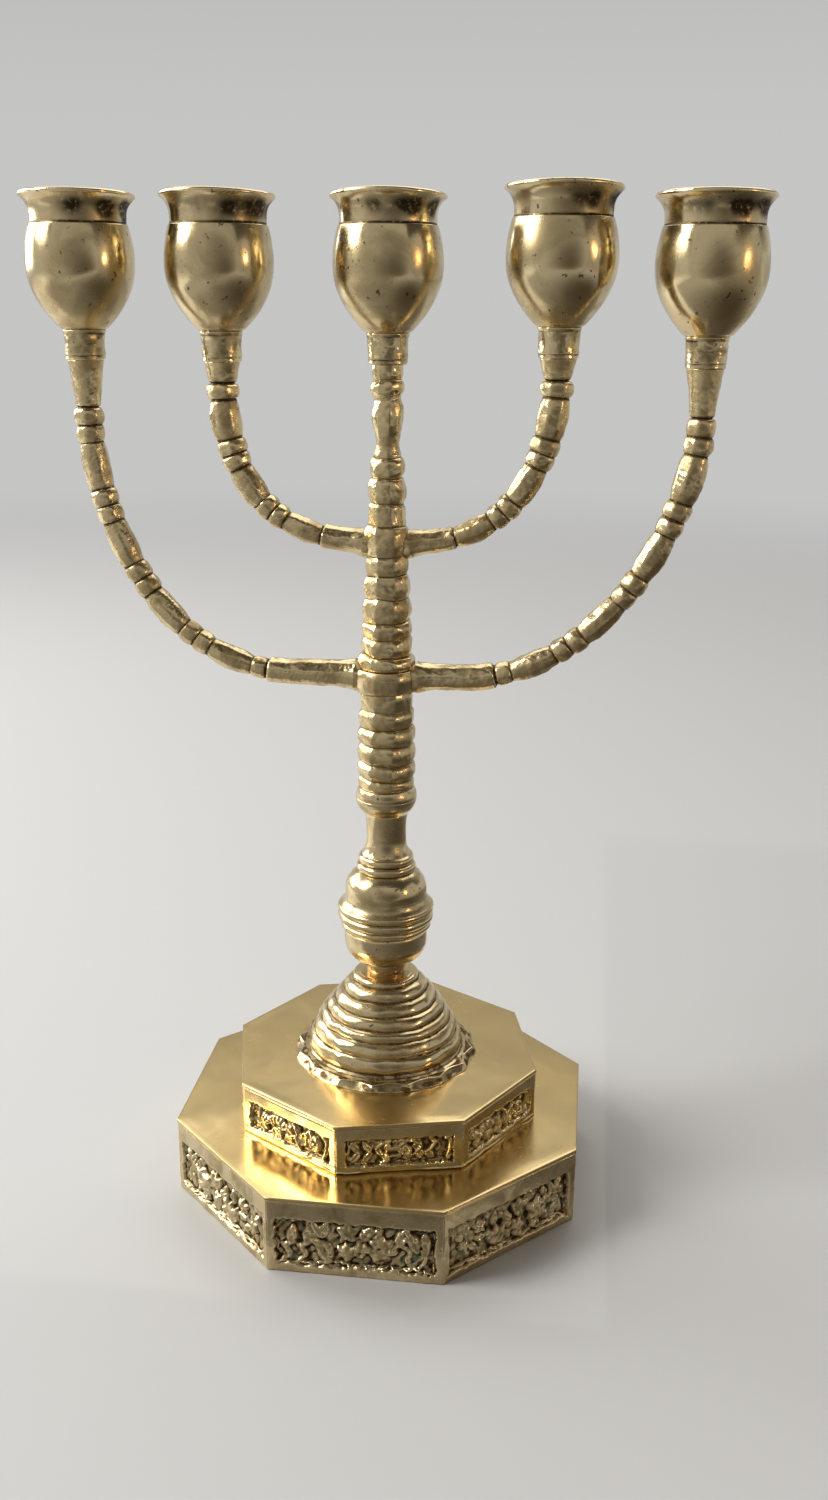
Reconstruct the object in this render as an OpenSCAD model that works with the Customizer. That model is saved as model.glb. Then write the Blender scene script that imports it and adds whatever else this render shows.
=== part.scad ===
// Five-cup brass menorah: a two-tier octagonal base, a beehive dome, a turned knop,
// two cast branches with beaded arms, and five cups that screw onto studs.
// Origin: centre of the base at its lowest face. +Z up, lower arms along X, front is -Y.

/* [Base tiers] */
// Width of the lower tier across its flats
lower_tier_w = 120; // [112:1:128]
// Height of the lower tier with its top plate
lower_tier_h = 23.7; // [22:0.1:26]
// Width of the upper tier across its flats
upper_tier_w = 88; // [84:1:92]
// Height of the upper tier with its top plate
upper_tier_h = 15.5; // [14.5:0.1:17]
// Turn of the upper tier against the lower tier, seen from above
upper_tier_turn = 13.5; // [0:0.5:22]
// Thickness of each tier's top plate
plate_t = 1.2; // [1:0.1:1.6]
// Thickness of each cast side panel
panel_t = 3.4; // [3:0.1:4]
// Depth of the sunk field in a side panel
field_depth = 1.6; // [1:0.1:1.8]
// How far the cast relief stands out past a panel's face
relief_proud = 0.4; // [0.2:0.1:0.6]

/* [Dome] */
// Radius of the dome's scalloped skirt
skirt_r = 28.1; // [27:0.1:29]
// Number of scallops around the skirt
scallops = 16; // [12:1:20]
// Thickness of the skirt
skirt_t = 1.8; // [1.6:0.1:2.4]
// Height of the dome above the upper tier, up to its top ring
dome_h = 26.6; // [26:0.1:28.5]
// Number of rounded ribs on the dome, its top ring included
dome_ribs = 7; // [6:1:8]

/* [Stem] */
// Length of the spacer collar between the dome and the knop
spacer_h = 4.2; // [3:0.1:4.6]
// Largest radius of the knop, on its girdle
girdle_r = 14.4; // [13.5:0.1:14.8]
// Height of the knop's lower cup
knop_cup_h = 10.5; // [9.5:0.1:11.5]
// Height of the knop's bell and neck
knop_bell_h = 36.5; // [35:0.5:38]
// Height of the bead under the lower branch
stem_bead_h = 8; // [7:0.5:9]
// Radius of the lower branch's stem over its ribs
lower_stem_r = 8.4; // [8:0.1:8.8]
// Height of the lower branch's stem, up to the seam over its arms
lower_branch_h = 35.7; // [35:0.1:37]
// Height of the upper branch, from the seam to its tip
upper_branch_h = 83.5; // [82:0.5:85]

/* [Arms] */
// Distance from the stem's axis to an outer cup
outer_reach = 83.7; // [82:0.1:86]
// Distance from the stem's axis to an inner cup
inner_reach = 45.4; // [44:0.1:47]
// Radius of the lower arms' plain tube
lower_tube_r = 3.8; // [3.4:0.1:4]
// Radius of the upper arms' plain tube
upper_tube_r = 3.3; // [3:0.1:3.6]
// How much higher the inner right arm was bent than the others
inner_right_rise = 2; // [0:0.5:3]

/* [Cups] */
// Radius of the candle socket, for a household candle of 22 mm
socket_r = 11.2; // [10.8:0.1:11.4]
// Length of the socket's straight wall
socket_l = 17.5; // [15:0.5:18]
// Largest radius of the cup's bulb
bulb_r = 14.6; // [14.3:0.1:15]
// Radius of the cup's flared lip
lip_r = 15.35; // [15:0.05:16]
// Height of the cup above its collar
bowl_h = 34.5; // [34:0.5:36]
// Height of the collar under the cup
collar_h = 8.2; // [7.5:0.1:9]

/* [Fastenings] */
// Radius of the tie rod that clamps the stack
rod_r = 3; // [2.8:0.1:3]
// Radius of the stud under each cup
stud_r = 2.5; // [2.2:0.1:2.5]
// How far each stud reaches down into its arm
stud_reach = 5; // [4:0.5:5]
// How far each stud stands up into its cup's collar
stud_rise = 7; // [6.5:0.1:7]
// Radial play of every turning fit
running_gap = 0.05; // [0.03:0.01:0.08]
// Width of the hexagon nut across its flats
nut_w = 10; // [9:0.5:11]

/* [Hidden] */
$fn = 96;
SIDES = 8;
CUPS = ["outer_left", "inner_left", "centre", "inner_right", "outer_right"];

// Heights of the seams between the stacked pieces
z_upper_tier = lower_tier_h;
z_dome = z_upper_tier + upper_tier_h;
z_spacer = z_dome + dome_h;
z_knop = z_spacer + spacer_h;
z_girdle = z_knop + knop_cup_h;
z_bead = z_girdle + knop_bell_h;
z_lower = z_bead + stem_bead_h;
z_upper = z_lower + lower_branch_h;
z_tip = z_upper + upper_branch_h;

// Heights of the arms' axes and the radius of the lower hub
z_lower_arm = z_upper - 2.2;
z_upper_arm = z_upper + 36.2;
lower_hub_r = lower_stem_r + 0.6;

// Fits
rod_bore_r = rod_r + running_gap;
stud_bore_r = stud_r + running_gap;
end_gap = 0.4;
rod_top = z_upper + 22;
washer_t = 1.2;
washer_r = 12;
nut_h = 5;
rod_tail = 2.5;

// Places of the five cups, from left to right
cup_x = [-outer_reach, -inner_reach, 0, inner_reach, outer_reach];
cup_rise = [0, 0, 0, inner_right_rise, 0];

// Beads along an arm, each as [length, radius], and the runs they make from the tube to the tip
OUTER_OLIVE = [13.2, 3.7];
OUTER_RING = [4.7, 3.3];
INNER_OLIVE = [11.1, 3.7];
INNER_RING = [4, 3.3];
groove_r = 2.5;
LOWER_BEADS = concat([OUTER_RING], [for (i = [1:4]) each [OUTER_OLIVE, OUTER_RING, OUTER_RING]]);
UPPER_BEADS = concat([for (i = [1:2]) each [INNER_OLIVE, INNER_RING, INNER_RING]], [INNER_OLIVE, INNER_RING]);
arm_sides = 12;

// The straight tips that carry the studs: long cones outside, short blocks inside
outer_tip_l = 13;
inner_tip_l = 6;
arm_tip_r = 4.6;

brass = [0.72, 0.58, 0.34];
pale_brass = [0.80, 0.68, 0.42];
dark_brass = [0.48, 0.38, 0.22];
steel = [0.55, 0.55, 0.53];

// ---- Shared outlines -------------------------------------------------------

// A rounded rib from height a to height b, bulging by dip out to radius r.
// Its last point is left out, so that ribs can follow one another.
function rib(a, b, r, dip, n = 6) =
    [for (i = [0:n - 1]) [r - dip + dip * sin(180 * i / n), (a + b) / 2 - (b - a) / 2 * cos(180 * i / n)]];

// A run of equal ribs from height a to height b
function ribs(a, b, count, r, dip) =
    [for (i = [0:count - 1]) each rib(a + (b - a) * i / count, a + (b - a) * (i + 1) / count, r, dip)];

// A gentle swelling line from point p to point q, its last point left out
function swell(p, q, out, n = 6) =
    let (d = q - p, side = [d[1], -d[0]] / norm(d))
    [for (i = [0:n - 1]) let (t = i / n) p + d * t + side * out * 4 * t * (1 - t)];

// Turns an outline of [radius, height] points into a solid, closed on its axis
module turned(outline, z0, z1) {
    rotate_extrude() polygon(concat([[0, z0]], outline, [[0, z1]]));
}

// A plain bore along the stem's axis
module stem_bore(r, z0, z1) {
    translate([0, 0, z0]) cylinder(r = r, h = z1 - z0);
}

// ---- Base ------------------------------------------------------------------

// A flat octagonal plate of width w across its flats
module octagon_plate(w, z, t) {
    translate([0, 0, z]) rotate([0, 0, 180 / SIDES]) cylinder(d = w / cos(180 / SIDES), h = t, $fn = SIDES);
}

// Cast relief in a field of width w and height h: blooms along the middle, leaves between them
module relief(w, h, count) {
    pitch = w / count;
    bloom_r = min(pitch, h) / 2 - 0.6;
    rise = field_depth + relief_proud;
    for (i = [0:count - 1]) {
        x = (i - (count - 1) / 2) * pitch;
        translate([x, 0, 0]) rotate([90, 0, 0]) cylinder(r = bloom_r, h = rise * 0.7);
        translate([x, 0, 0]) rotate([90, 0, 0]) cylinder(r = bloom_r * 0.45, h = rise);
    }
    for (i = [1:count - 1])
        translate([(i - count / 2) * pitch, 0, (i % 2 - 0.5) * h * 0.42])
            rotate([90, 0, 0]) cylinder(r = h * 0.14, h = rise * 0.85);
}

// One mitred panel at the front of a tier of width w, from height z0 to z1
module panel(w, z0, z1, stile, foot_rail, head_rail, blooms) {
    half_out = w / 2 * tan(180 / SIDES);
    half_in = (w / 2 - panel_t) * tan(180 / SIDES);
    field_w = 2 * (half_out - stile);
    field_h = z1 - z0 - foot_rail - head_rail;
    outer_y = -w / 2;
    inner_y = panel_t - w / 2;
    mitred = [[-half_out, outer_y], [half_out, outer_y], [half_in, inner_y], [-half_in, inner_y]];
    difference() {
        translate([0, 0, z0]) linear_extrude(z1 - z0) polygon(mitred);
        translate([-field_w / 2, outer_y - 1, z0 + foot_rail]) cube([field_w, 1 + field_depth, field_h]);
    }
    translate([0, outer_y + field_depth + 0.01, z0 + foot_rail + field_h / 2])
        relief(field_w, field_h, blooms);
}

module lower_plinth_top() {
    color(brass) difference() {
        octagon_plate(lower_tier_w, lower_tier_h - plate_t, plate_t);
        stem_bore(rod_bore_r, 0, z_dome);
    }
}

module lower_panel(k) {
    color(dark_brass) rotate([0, 0, (k - 1) * 360 / SIDES])
        panel(lower_tier_w, 0, lower_tier_h - plate_t, 2.4, 2.6, 5.6, 5);
}

module upper_plinth_top() {
    color(brass) rotate([0, 0, upper_tier_turn]) difference() {
        octagon_plate(upper_tier_w, z_dome - plate_t, plate_t);
        stem_bore(rod_bore_r, 0, z_dome + 1);
    }
}

module upper_panel(k) {
    color(brass) rotate([0, 0, upper_tier_turn + (k - 1) * 360 / SIDES])
        panel(upper_tier_w, z_upper_tier, z_dome - plate_t, 3, 2.3, 3.9, 6);
}

// ---- Dome ------------------------------------------------------------------

// Outline of the skirt: a disc with a shallow scoop cut between each pair of points
module scalloped_disc() {
    scoop_r = 9;
    scoop_depth = 1.8;
    difference() {
        circle(r = skirt_r);
        for (i = [0:scallops - 1])
            rotate((i + 0.5) * 360 / scallops)
                translate([skirt_r + scoop_r - scoop_depth, 0]) circle(r = scoop_r);
    }
}

// A beehive of rounded ribs on a scalloped skirt, hollow from below
module dome() {
    foot_r = 23.4;
    head_r = 8.3;
    crown = 1.4;
    rib_out = 0.7;
    z_foot = z_dome + skirt_t + 1.2;
    places = [for (i = [0:dome_ribs]) let (t = i / dome_ribs)
        [foot_r - (foot_r - head_r) * pow(t, crown), z_foot + (z_spacer - z_foot) * t]];
    steps = [for (i = [0:dome_ribs - 1]) each swell(places[i], places[i + 1], rib_out)];
    cove = swell([foot_r + 2, z_dome + skirt_t - 0.1], places[0], -0.3, 4);
    outline = concat([[foot_r + 2, z_dome + 0.5]], cove, steps, [places[dome_ribs]]);
    hollow_h = dome_h - 7;
    color(brass) difference() {
        union() {
            translate([0, 0, z_dome + running_gap])
                linear_extrude(skirt_t - running_gap) scalloped_disc();
            turned(outline, z_dome + 0.5, z_spacer);
        }
        translate([0, 0, z_dome - 1]) cylinder(r1 = foot_r - 3, r2 = 5, h = hollow_h + 1);
        stem_bore(rod_bore_r, z_dome, z_spacer + 1);
    }
}

// ---- Turned pieces of the stem ---------------------------------------------

module spacer_collar() {
    color(dark_brass) difference() {
        turned(concat(swell([5.9, z_spacer], [5.9, z_knop], -0.3), [[5.9, z_knop]]), z_spacer, z_knop);
        stem_bore(rod_bore_r, z_spacer - 1, z_knop + 1);
    }
}

module knop_cup() {
    foot_r = 6.6;
    side_r = girdle_r - 2;
    round_h = knop_cup_h * 0.66;
    side = [for (w = [0:15:90]) [foot_r + (side_r - foot_r) * sin(w), z_knop + round_h * (1 - cos(w))]];
    color(brass) difference() {
        turned(concat(side, [[side_r, z_girdle]]), z_knop, z_girdle);
        stem_bore(rod_bore_r, z_knop - 1, z_girdle + 1);
    }
}

module knop_bell() {
    z_rim = z_girdle + 5.6;
    z_flare = z_girdle + 8;
    z_step = z_girdle + 18.4;
    z_ring = z_girdle + 21;
    z_neck = z_girdle + 23.6;
    shoulder = [girdle_r - 2.2, z_girdle + 10.8];
    waist = [5.8, z_neck + 5.4];
    outline = concat(
        rib(z_girdle, z_girdle + 2.6, girdle_r - 0.9, 0.6),
        rib(z_girdle + 2.6, z_rim, girdle_r - 0.2, 0.7),
        rib(z_rim, z_flare, girdle_r, 0.6),
        swell([girdle_r - 0.7, z_flare], shoulder, -0.4, 4),
        swell(shoulder, [8.9, z_step], 1.3, 7),
        rib(z_step, z_ring, 8.8, 0.6),
        rib(z_ring, z_neck, 8.2, 0.6),
        swell([7.2, z_neck], waist, -0.4),
        swell(waist, [6.2, z_bead], -0.2),
        [[6.2, z_bead]]
    );
    color(pale_brass) difference() {
        turned(outline, z_girdle, z_bead);
        stem_bore(rod_bore_r, z_girdle - 1, z_bead + 1);
    }
}

module stem_bead() {
    belly = [8.8, z_bead + stem_bead_h * 0.6];
    outline = concat(swell([6.4, z_bead], belly, 0.6), swell(belly, [8.2, z_lower], 0.2), [[8.2, z_lower]]);
    color(brass) difference() {
        turned(outline, z_bead, z_lower);
        stem_bore(rod_bore_r, z_bead - 1, z_lower + 1);
    }
}

// ---- Arms ------------------------------------------------------------------

// Point at t on the curve of an arm, in the arm's own plane: level at its start p,
// upright at its end q, with handles of length a and b
function arm_point(p, q, a, b, t) =
    pow(1 - t, 3) * p + 3 * pow(1 - t, 2) * t * (p + [a, 0])
    + 3 * (1 - t) * t * t * (q - [0, b]) + pow(t, 3) * q;

// Stations along one bead that starts at distance s, as [distance, radius]
function bead_stations(s, bead) =
    let (n = bead[0] > 8 ? 6 : 4)
    [for (i = [0:n - 1]) [s + bead[0] * i / n, groove_r + (bead[1] - groove_r) * sqrt(sin(180 * i / n))]];

// Sum of the first i bead lengths
function run_to(beads, i) = i == 0 ? 0 : run_to(beads, i - 1) + beads[i - 1][0];

// A beaded arm in the XZ plane, from the stem's axis to the foot of its tip at z_end.
// start is where its curve leaves the level tube, and a and b are the curve's handles.
module beaded_arm(z, start, reach, z_end, a, b, tube_r, beads) {
    steps = 240;
    curve = [for (i = [0:steps]) arm_point([start, z], [reach, z_end], a, b, i / steps)];
    whole = arm_length(curve, steps);
    first = whole - run_to(beads, len(beads));
    stations = concat(
        [[-start, tube_r], [0, tube_r], [first / 2, tube_r], [first - 0.5, tube_r]],
        [for (i = [0:len(beads) - 1]) each bead_stations(first + run_to(beads, i), beads[i])],
        [[whole, groove_r]]
    );
    swept([for (s = stations) let (f = arm_frame(curve, s[0], start, z)) arm_ring(f[0], f[1], s[1])]);
}

// Length of a curve of n steps up to step i
function arm_length(curve, i) = i == 0 ? 0 : arm_length(curve, i - 1) + norm(curve[i] - curve[i - 1]);

// Centre and direction at distance s along the curve; a negative s lies on the level tube
function arm_frame(curve, s, start, z) =
    s <= 0 ? [[start + s, z], [1, 0]] : arm_walk(curve, s, 1);
function arm_walk(curve, s, i) =
    let (d = curve[i] - curve[i - 1], l = norm(d))
    (s <= l || i == len(curve) - 1)
        ? [curve[i - 1] + d * min(1, s / l), d / l] : arm_walk(curve, s - l, i + 1);

// One ring of points of radius r around centre c, square to direction d
function arm_ring(c, d, r) =
    [for (k = [0:arm_sides - 1]) let (w = 360 * (k + 0.5) / arm_sides)
        [c[0] - d[1] * r * cos(w), r * sin(w), c[1] + d[0] * r * cos(w)]];

// A closed skin over a row of rings
module swept(rings) {
    n = arm_sides;
    last = len(rings) - 1;
    sides = [for (j = [0:last - 1]) for (k = [0:n - 1])
        let (a = j * n + k, b = j * n + (k + 1) % n) each [[a, b, b + n], [a, b + n, a + n]]];
    caps = [[for (k = [n - 1:-1:0]) k], [for (k = [0:n - 1]) last * n + k]];
    polyhedron(points = [for (ring = rings) each ring], faces = concat(sides, caps), convexity = 10);
}

// The straight end of an arm, which carries a cup's stud
module arm_tip(l, foot_r) {
    turned([[foot_r, -l], [arm_tip_r, -1], [arm_tip_r, 0]], -l, 0);
}

module stud_hole() {
    translate([0, 0, -stud_reach - end_gap]) cylinder(r = stud_bore_r, h = stud_reach + end_gap + 1);
}

// Puts its children at the tip under cup i
module at_tip(i) {
    translate([cup_x[i], 0, z_tip + cup_rise[i]]) children();
}

// ---- Branch castings -------------------------------------------------------

module lower_branch() {
    z_rib = z_lower + 3;
    z_plain = z_lower + 24;
    z_hub = z_lower + 29;
    outline = concat(
        rib(z_lower, z_rib, lower_stem_r, 0.5, 4),
        ribs(z_rib, z_plain, 4, lower_stem_r, 0.8),
        swell([lower_stem_r - 0.6, z_plain], [lower_stem_r - 0.3, z_hub], -0.3, 3),
        swell([lower_hub_r - 0.5, z_hub], [lower_hub_r - 0.4, z_upper], 0.4, 4),
        [[lower_hub_r - 0.4, z_upper]]
    );
    z_end = z_tip - outer_tip_l + 0.3;
    color(brass) difference() {
        union() {
            turned(outline, z_lower, z_upper);
            mirror([1, 0, 0])
                beaded_arm(z_lower_arm, 28, outer_reach, z_end, 37, 32, lower_tube_r, LOWER_BEADS);
            beaded_arm(z_lower_arm, 20, outer_reach, z_end, 41, 26, lower_tube_r, LOWER_BEADS);
            for (i = [0, 4]) at_tip(i) arm_tip(outer_tip_l, 3.3);
        }
        stem_bore(rod_bore_r, z_lower - 1, z_upper + 1);
        stem_bore(lower_hub_r, z_upper, z_upper + lower_tube_r + 1);
        for (i = [0, 4]) at_tip(i) stud_hole();
    }
}

module upper_branch() {
    z = z_upper;
    outline = concat(
        rib(z, z + 4, 8.3, 0.8, 4),
        ribs(z + 4, z + 13.5, 2, 7.4, 0.7),
        ribs(z + 13.5, z + 26.6, 2, 6.9, 0.7),
        rib(z + 26.6, z + 32, 6.3, 0.6),
        rib(z + 32, z + 40.3, 6.4, 0.9),
        swell([5.4, z + 40.3], [5.4, z + 46.5], 0.2, 3),
        rib(z + 46.5, z + 53.5, 5.8, 0.6),
        rib(z + 53.5, z + 59, 5.2, 0.9),
        swell([4, z + 59], [3.3, z + 62.5], -0.1, 3),
        swell([3.3, z + 62.5], [3.5, z + 75], 1.1, 8),
        rib(z + 75, z + 79.3, 4.6, 0.9),
        [[4.1, z + 79.3], [4.2, z_tip]]
    );
    z_left = z_tip - inner_tip_l + 0.3;
    z_right = z_left + inner_right_rise;
    color(brass) difference() {
        union() {
            turned(outline, z, z_tip);
            mirror([1, 0, 0])
                beaded_arm(z_upper_arm, 8, inner_reach, z_left, 25, 26, upper_tube_r, UPPER_BEADS);
            beaded_arm(z_upper_arm, 8, inner_reach, z_right, 32, 12, upper_tube_r, UPPER_BEADS);
            for (i = [1, 3]) at_tip(i) arm_tip(inner_tip_l, 4.2);
        }
        stem_bore(rod_bore_r, z - 1, rod_top + end_gap);
        for (i = [1:3]) at_tip(i) stud_hole();
    }
}

// ---- Fastenings ------------------------------------------------------------

module tie_rod() {
    z0 = lower_tier_h - plate_t - washer_t - nut_h - rod_tail;
    color(steel) stem_bore(rod_r, z0, rod_top);
}

module rod_washer() {
    z0 = lower_tier_h - plate_t - washer_t;
    color(steel) difference() {
        stem_bore(washer_r, z0, z0 + washer_t);
        stem_bore(rod_bore_r, z0 - 1, z0 + washer_t + 1);
    }
}

module rod_nut() {
    z0 = lower_tier_h - plate_t - washer_t - nut_h;
    color(steel) difference() {
        translate([0, 0, z0]) cylinder(d = nut_w / cos(30), h = nut_h, $fn = 6);
        stem_bore(rod_bore_r, z0 - 1, z0 + nut_h + 1);
    }
}

// ---- Cups ------------------------------------------------------------------

module cup_stud(i) {
    color(dark_brass) at_tip(i)
        translate([0, 0, -stud_reach]) cylinder(r = stud_r, h = stud_reach + stud_rise);
}

module cup_collar(i) {
    color(brass) at_tip(i) difference() {
        turned([[5.3, 0], [5.35, collar_h * 0.5], [5.9, collar_h]], 0, collar_h);
        translate([0, 0, -1]) cylinder(r = stud_bore_r, h = 1 + stud_rise + end_gap);
    }
}

// A candle cup from its foot to its lip: a tapering bulb, a narrow neck and a flared lip
module cup_bowl(i) {
    belly_z = bowl_h / 2;
    neck_z = bowl_h - 7.8;
    neck_r = 12.7;
    foot_r = 6.2;
    lower = [for (t = [1:-0.1:0.05]) [bulb_r - (bulb_r - foot_r) * pow(t, 2.5), belly_z * (1 - t)]];
    upper = [for (t = [0:0.2:1])
        [bulb_r - (bulb_r - neck_r - 0.3) * t * t, belly_z + (neck_z - belly_z) * t]];
    flare_h = bowl_h - neck_z - 1.2;
    flare = [for (t = [0.2:0.2:1]) [neck_r + (lip_r - neck_r) * pow(t, 2.4), neck_z + flare_h * t]];
    lip = [[lip_r, bowl_h - 0.9], [lip_r - 0.8, bowl_h]];
    mouth_z = bowl_h - 3.5;
    mouth_r = lip_r - 1.3;
    floor_z = mouth_z - socket_l;
    pit_z = floor_z - 11.5;
    pit = [[6.2, pit_z], [9.2, floor_z - 8.5], [10.8, floor_z - 5], [socket_r, floor_z]];
    color(pale_brass) at_tip(i) translate([0, 0, collar_h]) difference() {
        turned(concat(lower, upper, [[neck_r, neck_z]], flare, lip), 0, bowl_h);
        translate([0, 0, floor_z]) cylinder(r = socket_r, h = bowl_h);
        turned(pit, pit_z, floor_z);
        translate([0, 0, mouth_z]) cylinder(r1 = socket_r, r2 = mouth_r, h = bowl_h - mouth_z);
        translate([0, 0, bowl_h - 0.01]) cylinder(r = mouth_r, h = 1);
    }
}

// ---- Nodes -----------------------------------------------------------------

lower_plinth_top();
for (k = [1:SIDES]) lower_panel(k);
upper_plinth_top();
for (k = [1:SIDES]) upper_panel(k);
dome();
spacer_collar();
knop_cup();
knop_bell();
stem_bead();
lower_branch();
upper_branch();
tie_rod();
rod_washer();
rod_nut();
for (i = [0:4]) cup_stud(i);
for (i = [0:4]) cup_collar(i);
for (i = [0:4]) cup_bowl(i);
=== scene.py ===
"""A five-cup brass menorah: cast octagonal base, beehive dome, turned knop, beaded arms, screwed cups.

Lengths in the shape code are millimetres, in the CAD frame: +Z up, lower arms along X, front is -Y.
"""
import math

import bpy
import numpy as np
from mathutils import Matrix, Vector


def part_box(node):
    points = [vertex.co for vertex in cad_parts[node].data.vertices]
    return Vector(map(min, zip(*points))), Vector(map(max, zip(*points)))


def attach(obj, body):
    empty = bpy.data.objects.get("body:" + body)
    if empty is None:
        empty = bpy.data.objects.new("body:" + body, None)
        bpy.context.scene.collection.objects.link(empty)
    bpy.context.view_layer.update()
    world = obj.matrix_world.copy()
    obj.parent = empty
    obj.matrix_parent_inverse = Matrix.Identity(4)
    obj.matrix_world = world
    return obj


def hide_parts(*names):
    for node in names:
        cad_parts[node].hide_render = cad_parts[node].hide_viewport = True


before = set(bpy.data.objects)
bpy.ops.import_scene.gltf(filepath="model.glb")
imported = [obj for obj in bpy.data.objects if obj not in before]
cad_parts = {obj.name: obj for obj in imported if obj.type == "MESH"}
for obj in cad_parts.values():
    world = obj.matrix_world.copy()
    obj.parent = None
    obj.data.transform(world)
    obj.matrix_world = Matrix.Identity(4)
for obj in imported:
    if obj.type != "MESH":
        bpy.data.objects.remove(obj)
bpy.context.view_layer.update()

MM = 0.001
TAU = 2 * math.pi


# ---- Places taken from the frame ---------------------------------------------

def foot_of(node):
    """Height of a node's lowest point."""
    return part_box(node)[0].z / MM


def top_of(node):
    """Height of a node's highest point."""
    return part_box(node)[1].z / MM


def ends_of(node):
    """Heights of a node's lowest and highest points."""
    return foot_of(node), top_of(node)


def middle_of(node):
    """X of the middle of a node."""
    lo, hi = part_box(node)
    return (lo.x + hi.x) / 2 / MM


CUPS = ("outer_left", "inner_left", "centre", "inner_right", "outer_right")
CUP_X = {cup: middle_of(f"cup_stud_{cup}") for cup in CUPS}
TIP_Z = {cup: foot_of(f"cup_collar_{cup}") for cup in CUPS}

SIDES = 8
LOWER_W = 2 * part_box("lower_plinth_top")[1].x / MM
UPPER_TURN = math.radians(13.5)
UPPER_W = (2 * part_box("upper_plinth_top")[1].x / MM * math.cos(math.pi / SIDES)
           / math.cos(math.pi / SIDES - UPPER_TURN))
PANEL_T = 3.4
FIELD_DEPTH = 1.6
PLATE_LAP = 0.3
PLATE_EDGE = 0.35
ROD_BORE = 3.05
STUD_BORE = 2.55
STUD_HOLE = 5.4


# ---- Making meshes ------------------------------------------------------------

def smooth_along(values, sigma, axis, wrap):
    """A Gaussian blur of an array along one axis; sigma is in samples."""
    reach = max(1, int(3 * sigma))
    kernel = np.exp(-0.5 * (np.arange(-reach, reach + 1) / sigma) ** 2)
    kernel /= kernel.sum()
    pad = [(0, 0)] * values.ndim
    pad[axis] = (reach, reach)
    padded = np.pad(values, pad, mode="wrap" if wrap else "edge")
    return np.apply_along_axis(lambda line: np.convolve(line, kernel, "valid"), axis, padded)


def smooth_both(values, sigma):
    """The same blur along both axes of an image."""
    return smooth_along(smooth_along(values, sigma, 0, False), sigma, 1, False)


def waves(points, size, seed, count=16):
    """Smooth seeded noise of about unit spread at points (..., 3), with bumps of about that size."""
    rng = np.random.default_rng(seed)
    total = np.zeros(points.shape[:-1])
    for _ in range(count):
        way = rng.normal(size=3)
        way *= TAU / size * rng.uniform(0.5, 1.5) / np.linalg.norm(way)
        total += np.sin(points @ way + rng.uniform(0, TAU))
    return total / math.sqrt(count / 2)


def skin(name, rings, relief, loop=False):
    """An object over rings of points (n, m, 3) in mm, each ring closed on itself.

    With loop the last ring joins the first; otherwise each end ring is a pole if its points
    coincide, and is capped if they don't. relief (n, m) runs from 0 in a groove to 1 on a crest.
    """
    n, m, _ = rings.shape
    index = np.arange(n * m).reshape(n, m)
    poles = []
    for row in (0, n - 1):
        if not loop and np.ptp(rings[row], axis=0).max() < 1e-6:
            index[row, :] = index[row, 0]
            poles.append(row)
    rows = n if loop else n - 1
    a = index[:rows]
    b = index[np.arange(1, rows + 1) % n]
    quads = np.stack([a, np.roll(a, -1, 1), np.roll(b, -1, 1), b], axis=-1)
    faces = []
    for i in range(rows):
        if i == 0 and 0 in poles:
            faces += quads[i][:, [0, 2, 3]].tolist()
        elif i == n - 2 and n - 1 in poles:
            faces += quads[i][:, [0, 1, 2]].tolist()
        else:
            faces += quads[i].tolist()
    if not loop and 0 not in poles:
        faces.append(index[0, ::-1].tolist())
    if not loop and n - 1 not in poles:
        faces.append(index[n - 1].tolist())
    return mesh_object(name, rings.reshape(-1, 3), faces, relief.reshape(-1))


def mesh_object(name, points, faces, relief):
    """An object of points in mm and faces, without unused points, shaded smooth."""
    used = np.unique(np.fromiter((v for f in faces for v in f), int))
    new_index = np.full(len(points), -1)
    new_index[used] = np.arange(len(used))
    mesh = bpy.data.meshes.new(name)
    mesh.from_pydata((points[used] * MM).tolist(), [], [[int(new_index[v]) for v in f] for f in faces])
    values = mesh.attributes.new("relief", "FLOAT", "POINT")
    values.data.foreach_set("value", relief[used].astype(np.float32))
    mesh.update()
    mesh.shade_smooth()
    thing = bpy.data.objects.new(name, mesh)
    bpy.context.scene.collection.objects.link(thing)
    return thing


def outward(thing):
    """Turns every face of a closed mesh outwards."""
    thing.data.calc_loop_triangles()
    co = np.zeros(len(thing.data.vertices) * 3)
    thing.data.vertices.foreach_get("co", co)
    co = co.reshape(-1, 3)
    tris = np.zeros(len(thing.data.loop_triangles) * 3, int)
    thing.data.loop_triangles.foreach_get("vertices", tris)
    p, q, r = (co[tris.reshape(-1, 3)[:, k]] for k in range(3))
    volume = np.einsum("ij,ij->i", p, np.cross(q, r)).sum()
    if volume < 0:
        thing.data.flip_normals()
    return thing


def walked(path, step):
    """Points about a step apart along a path of (radius, height) corners, corners kept."""
    path = np.asarray(path, float)
    out = [path[0]]
    for p, q in zip(path[:-1], path[1:]):
        count = max(1, int(math.ceil(np.linalg.norm(q - p) / step)))
        out += [p + (q - p) * i / count for i in range(1, count + 1)]
    return np.array(out)


def bored(outline, z0, z1):
    """A closed path: an outline from z0 up to z1, and back down the bore for the tie rod."""
    return [(ROD_BORE, z0)] + outline + [(ROD_BORE, z1), (ROD_BORE, z0)]


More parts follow.
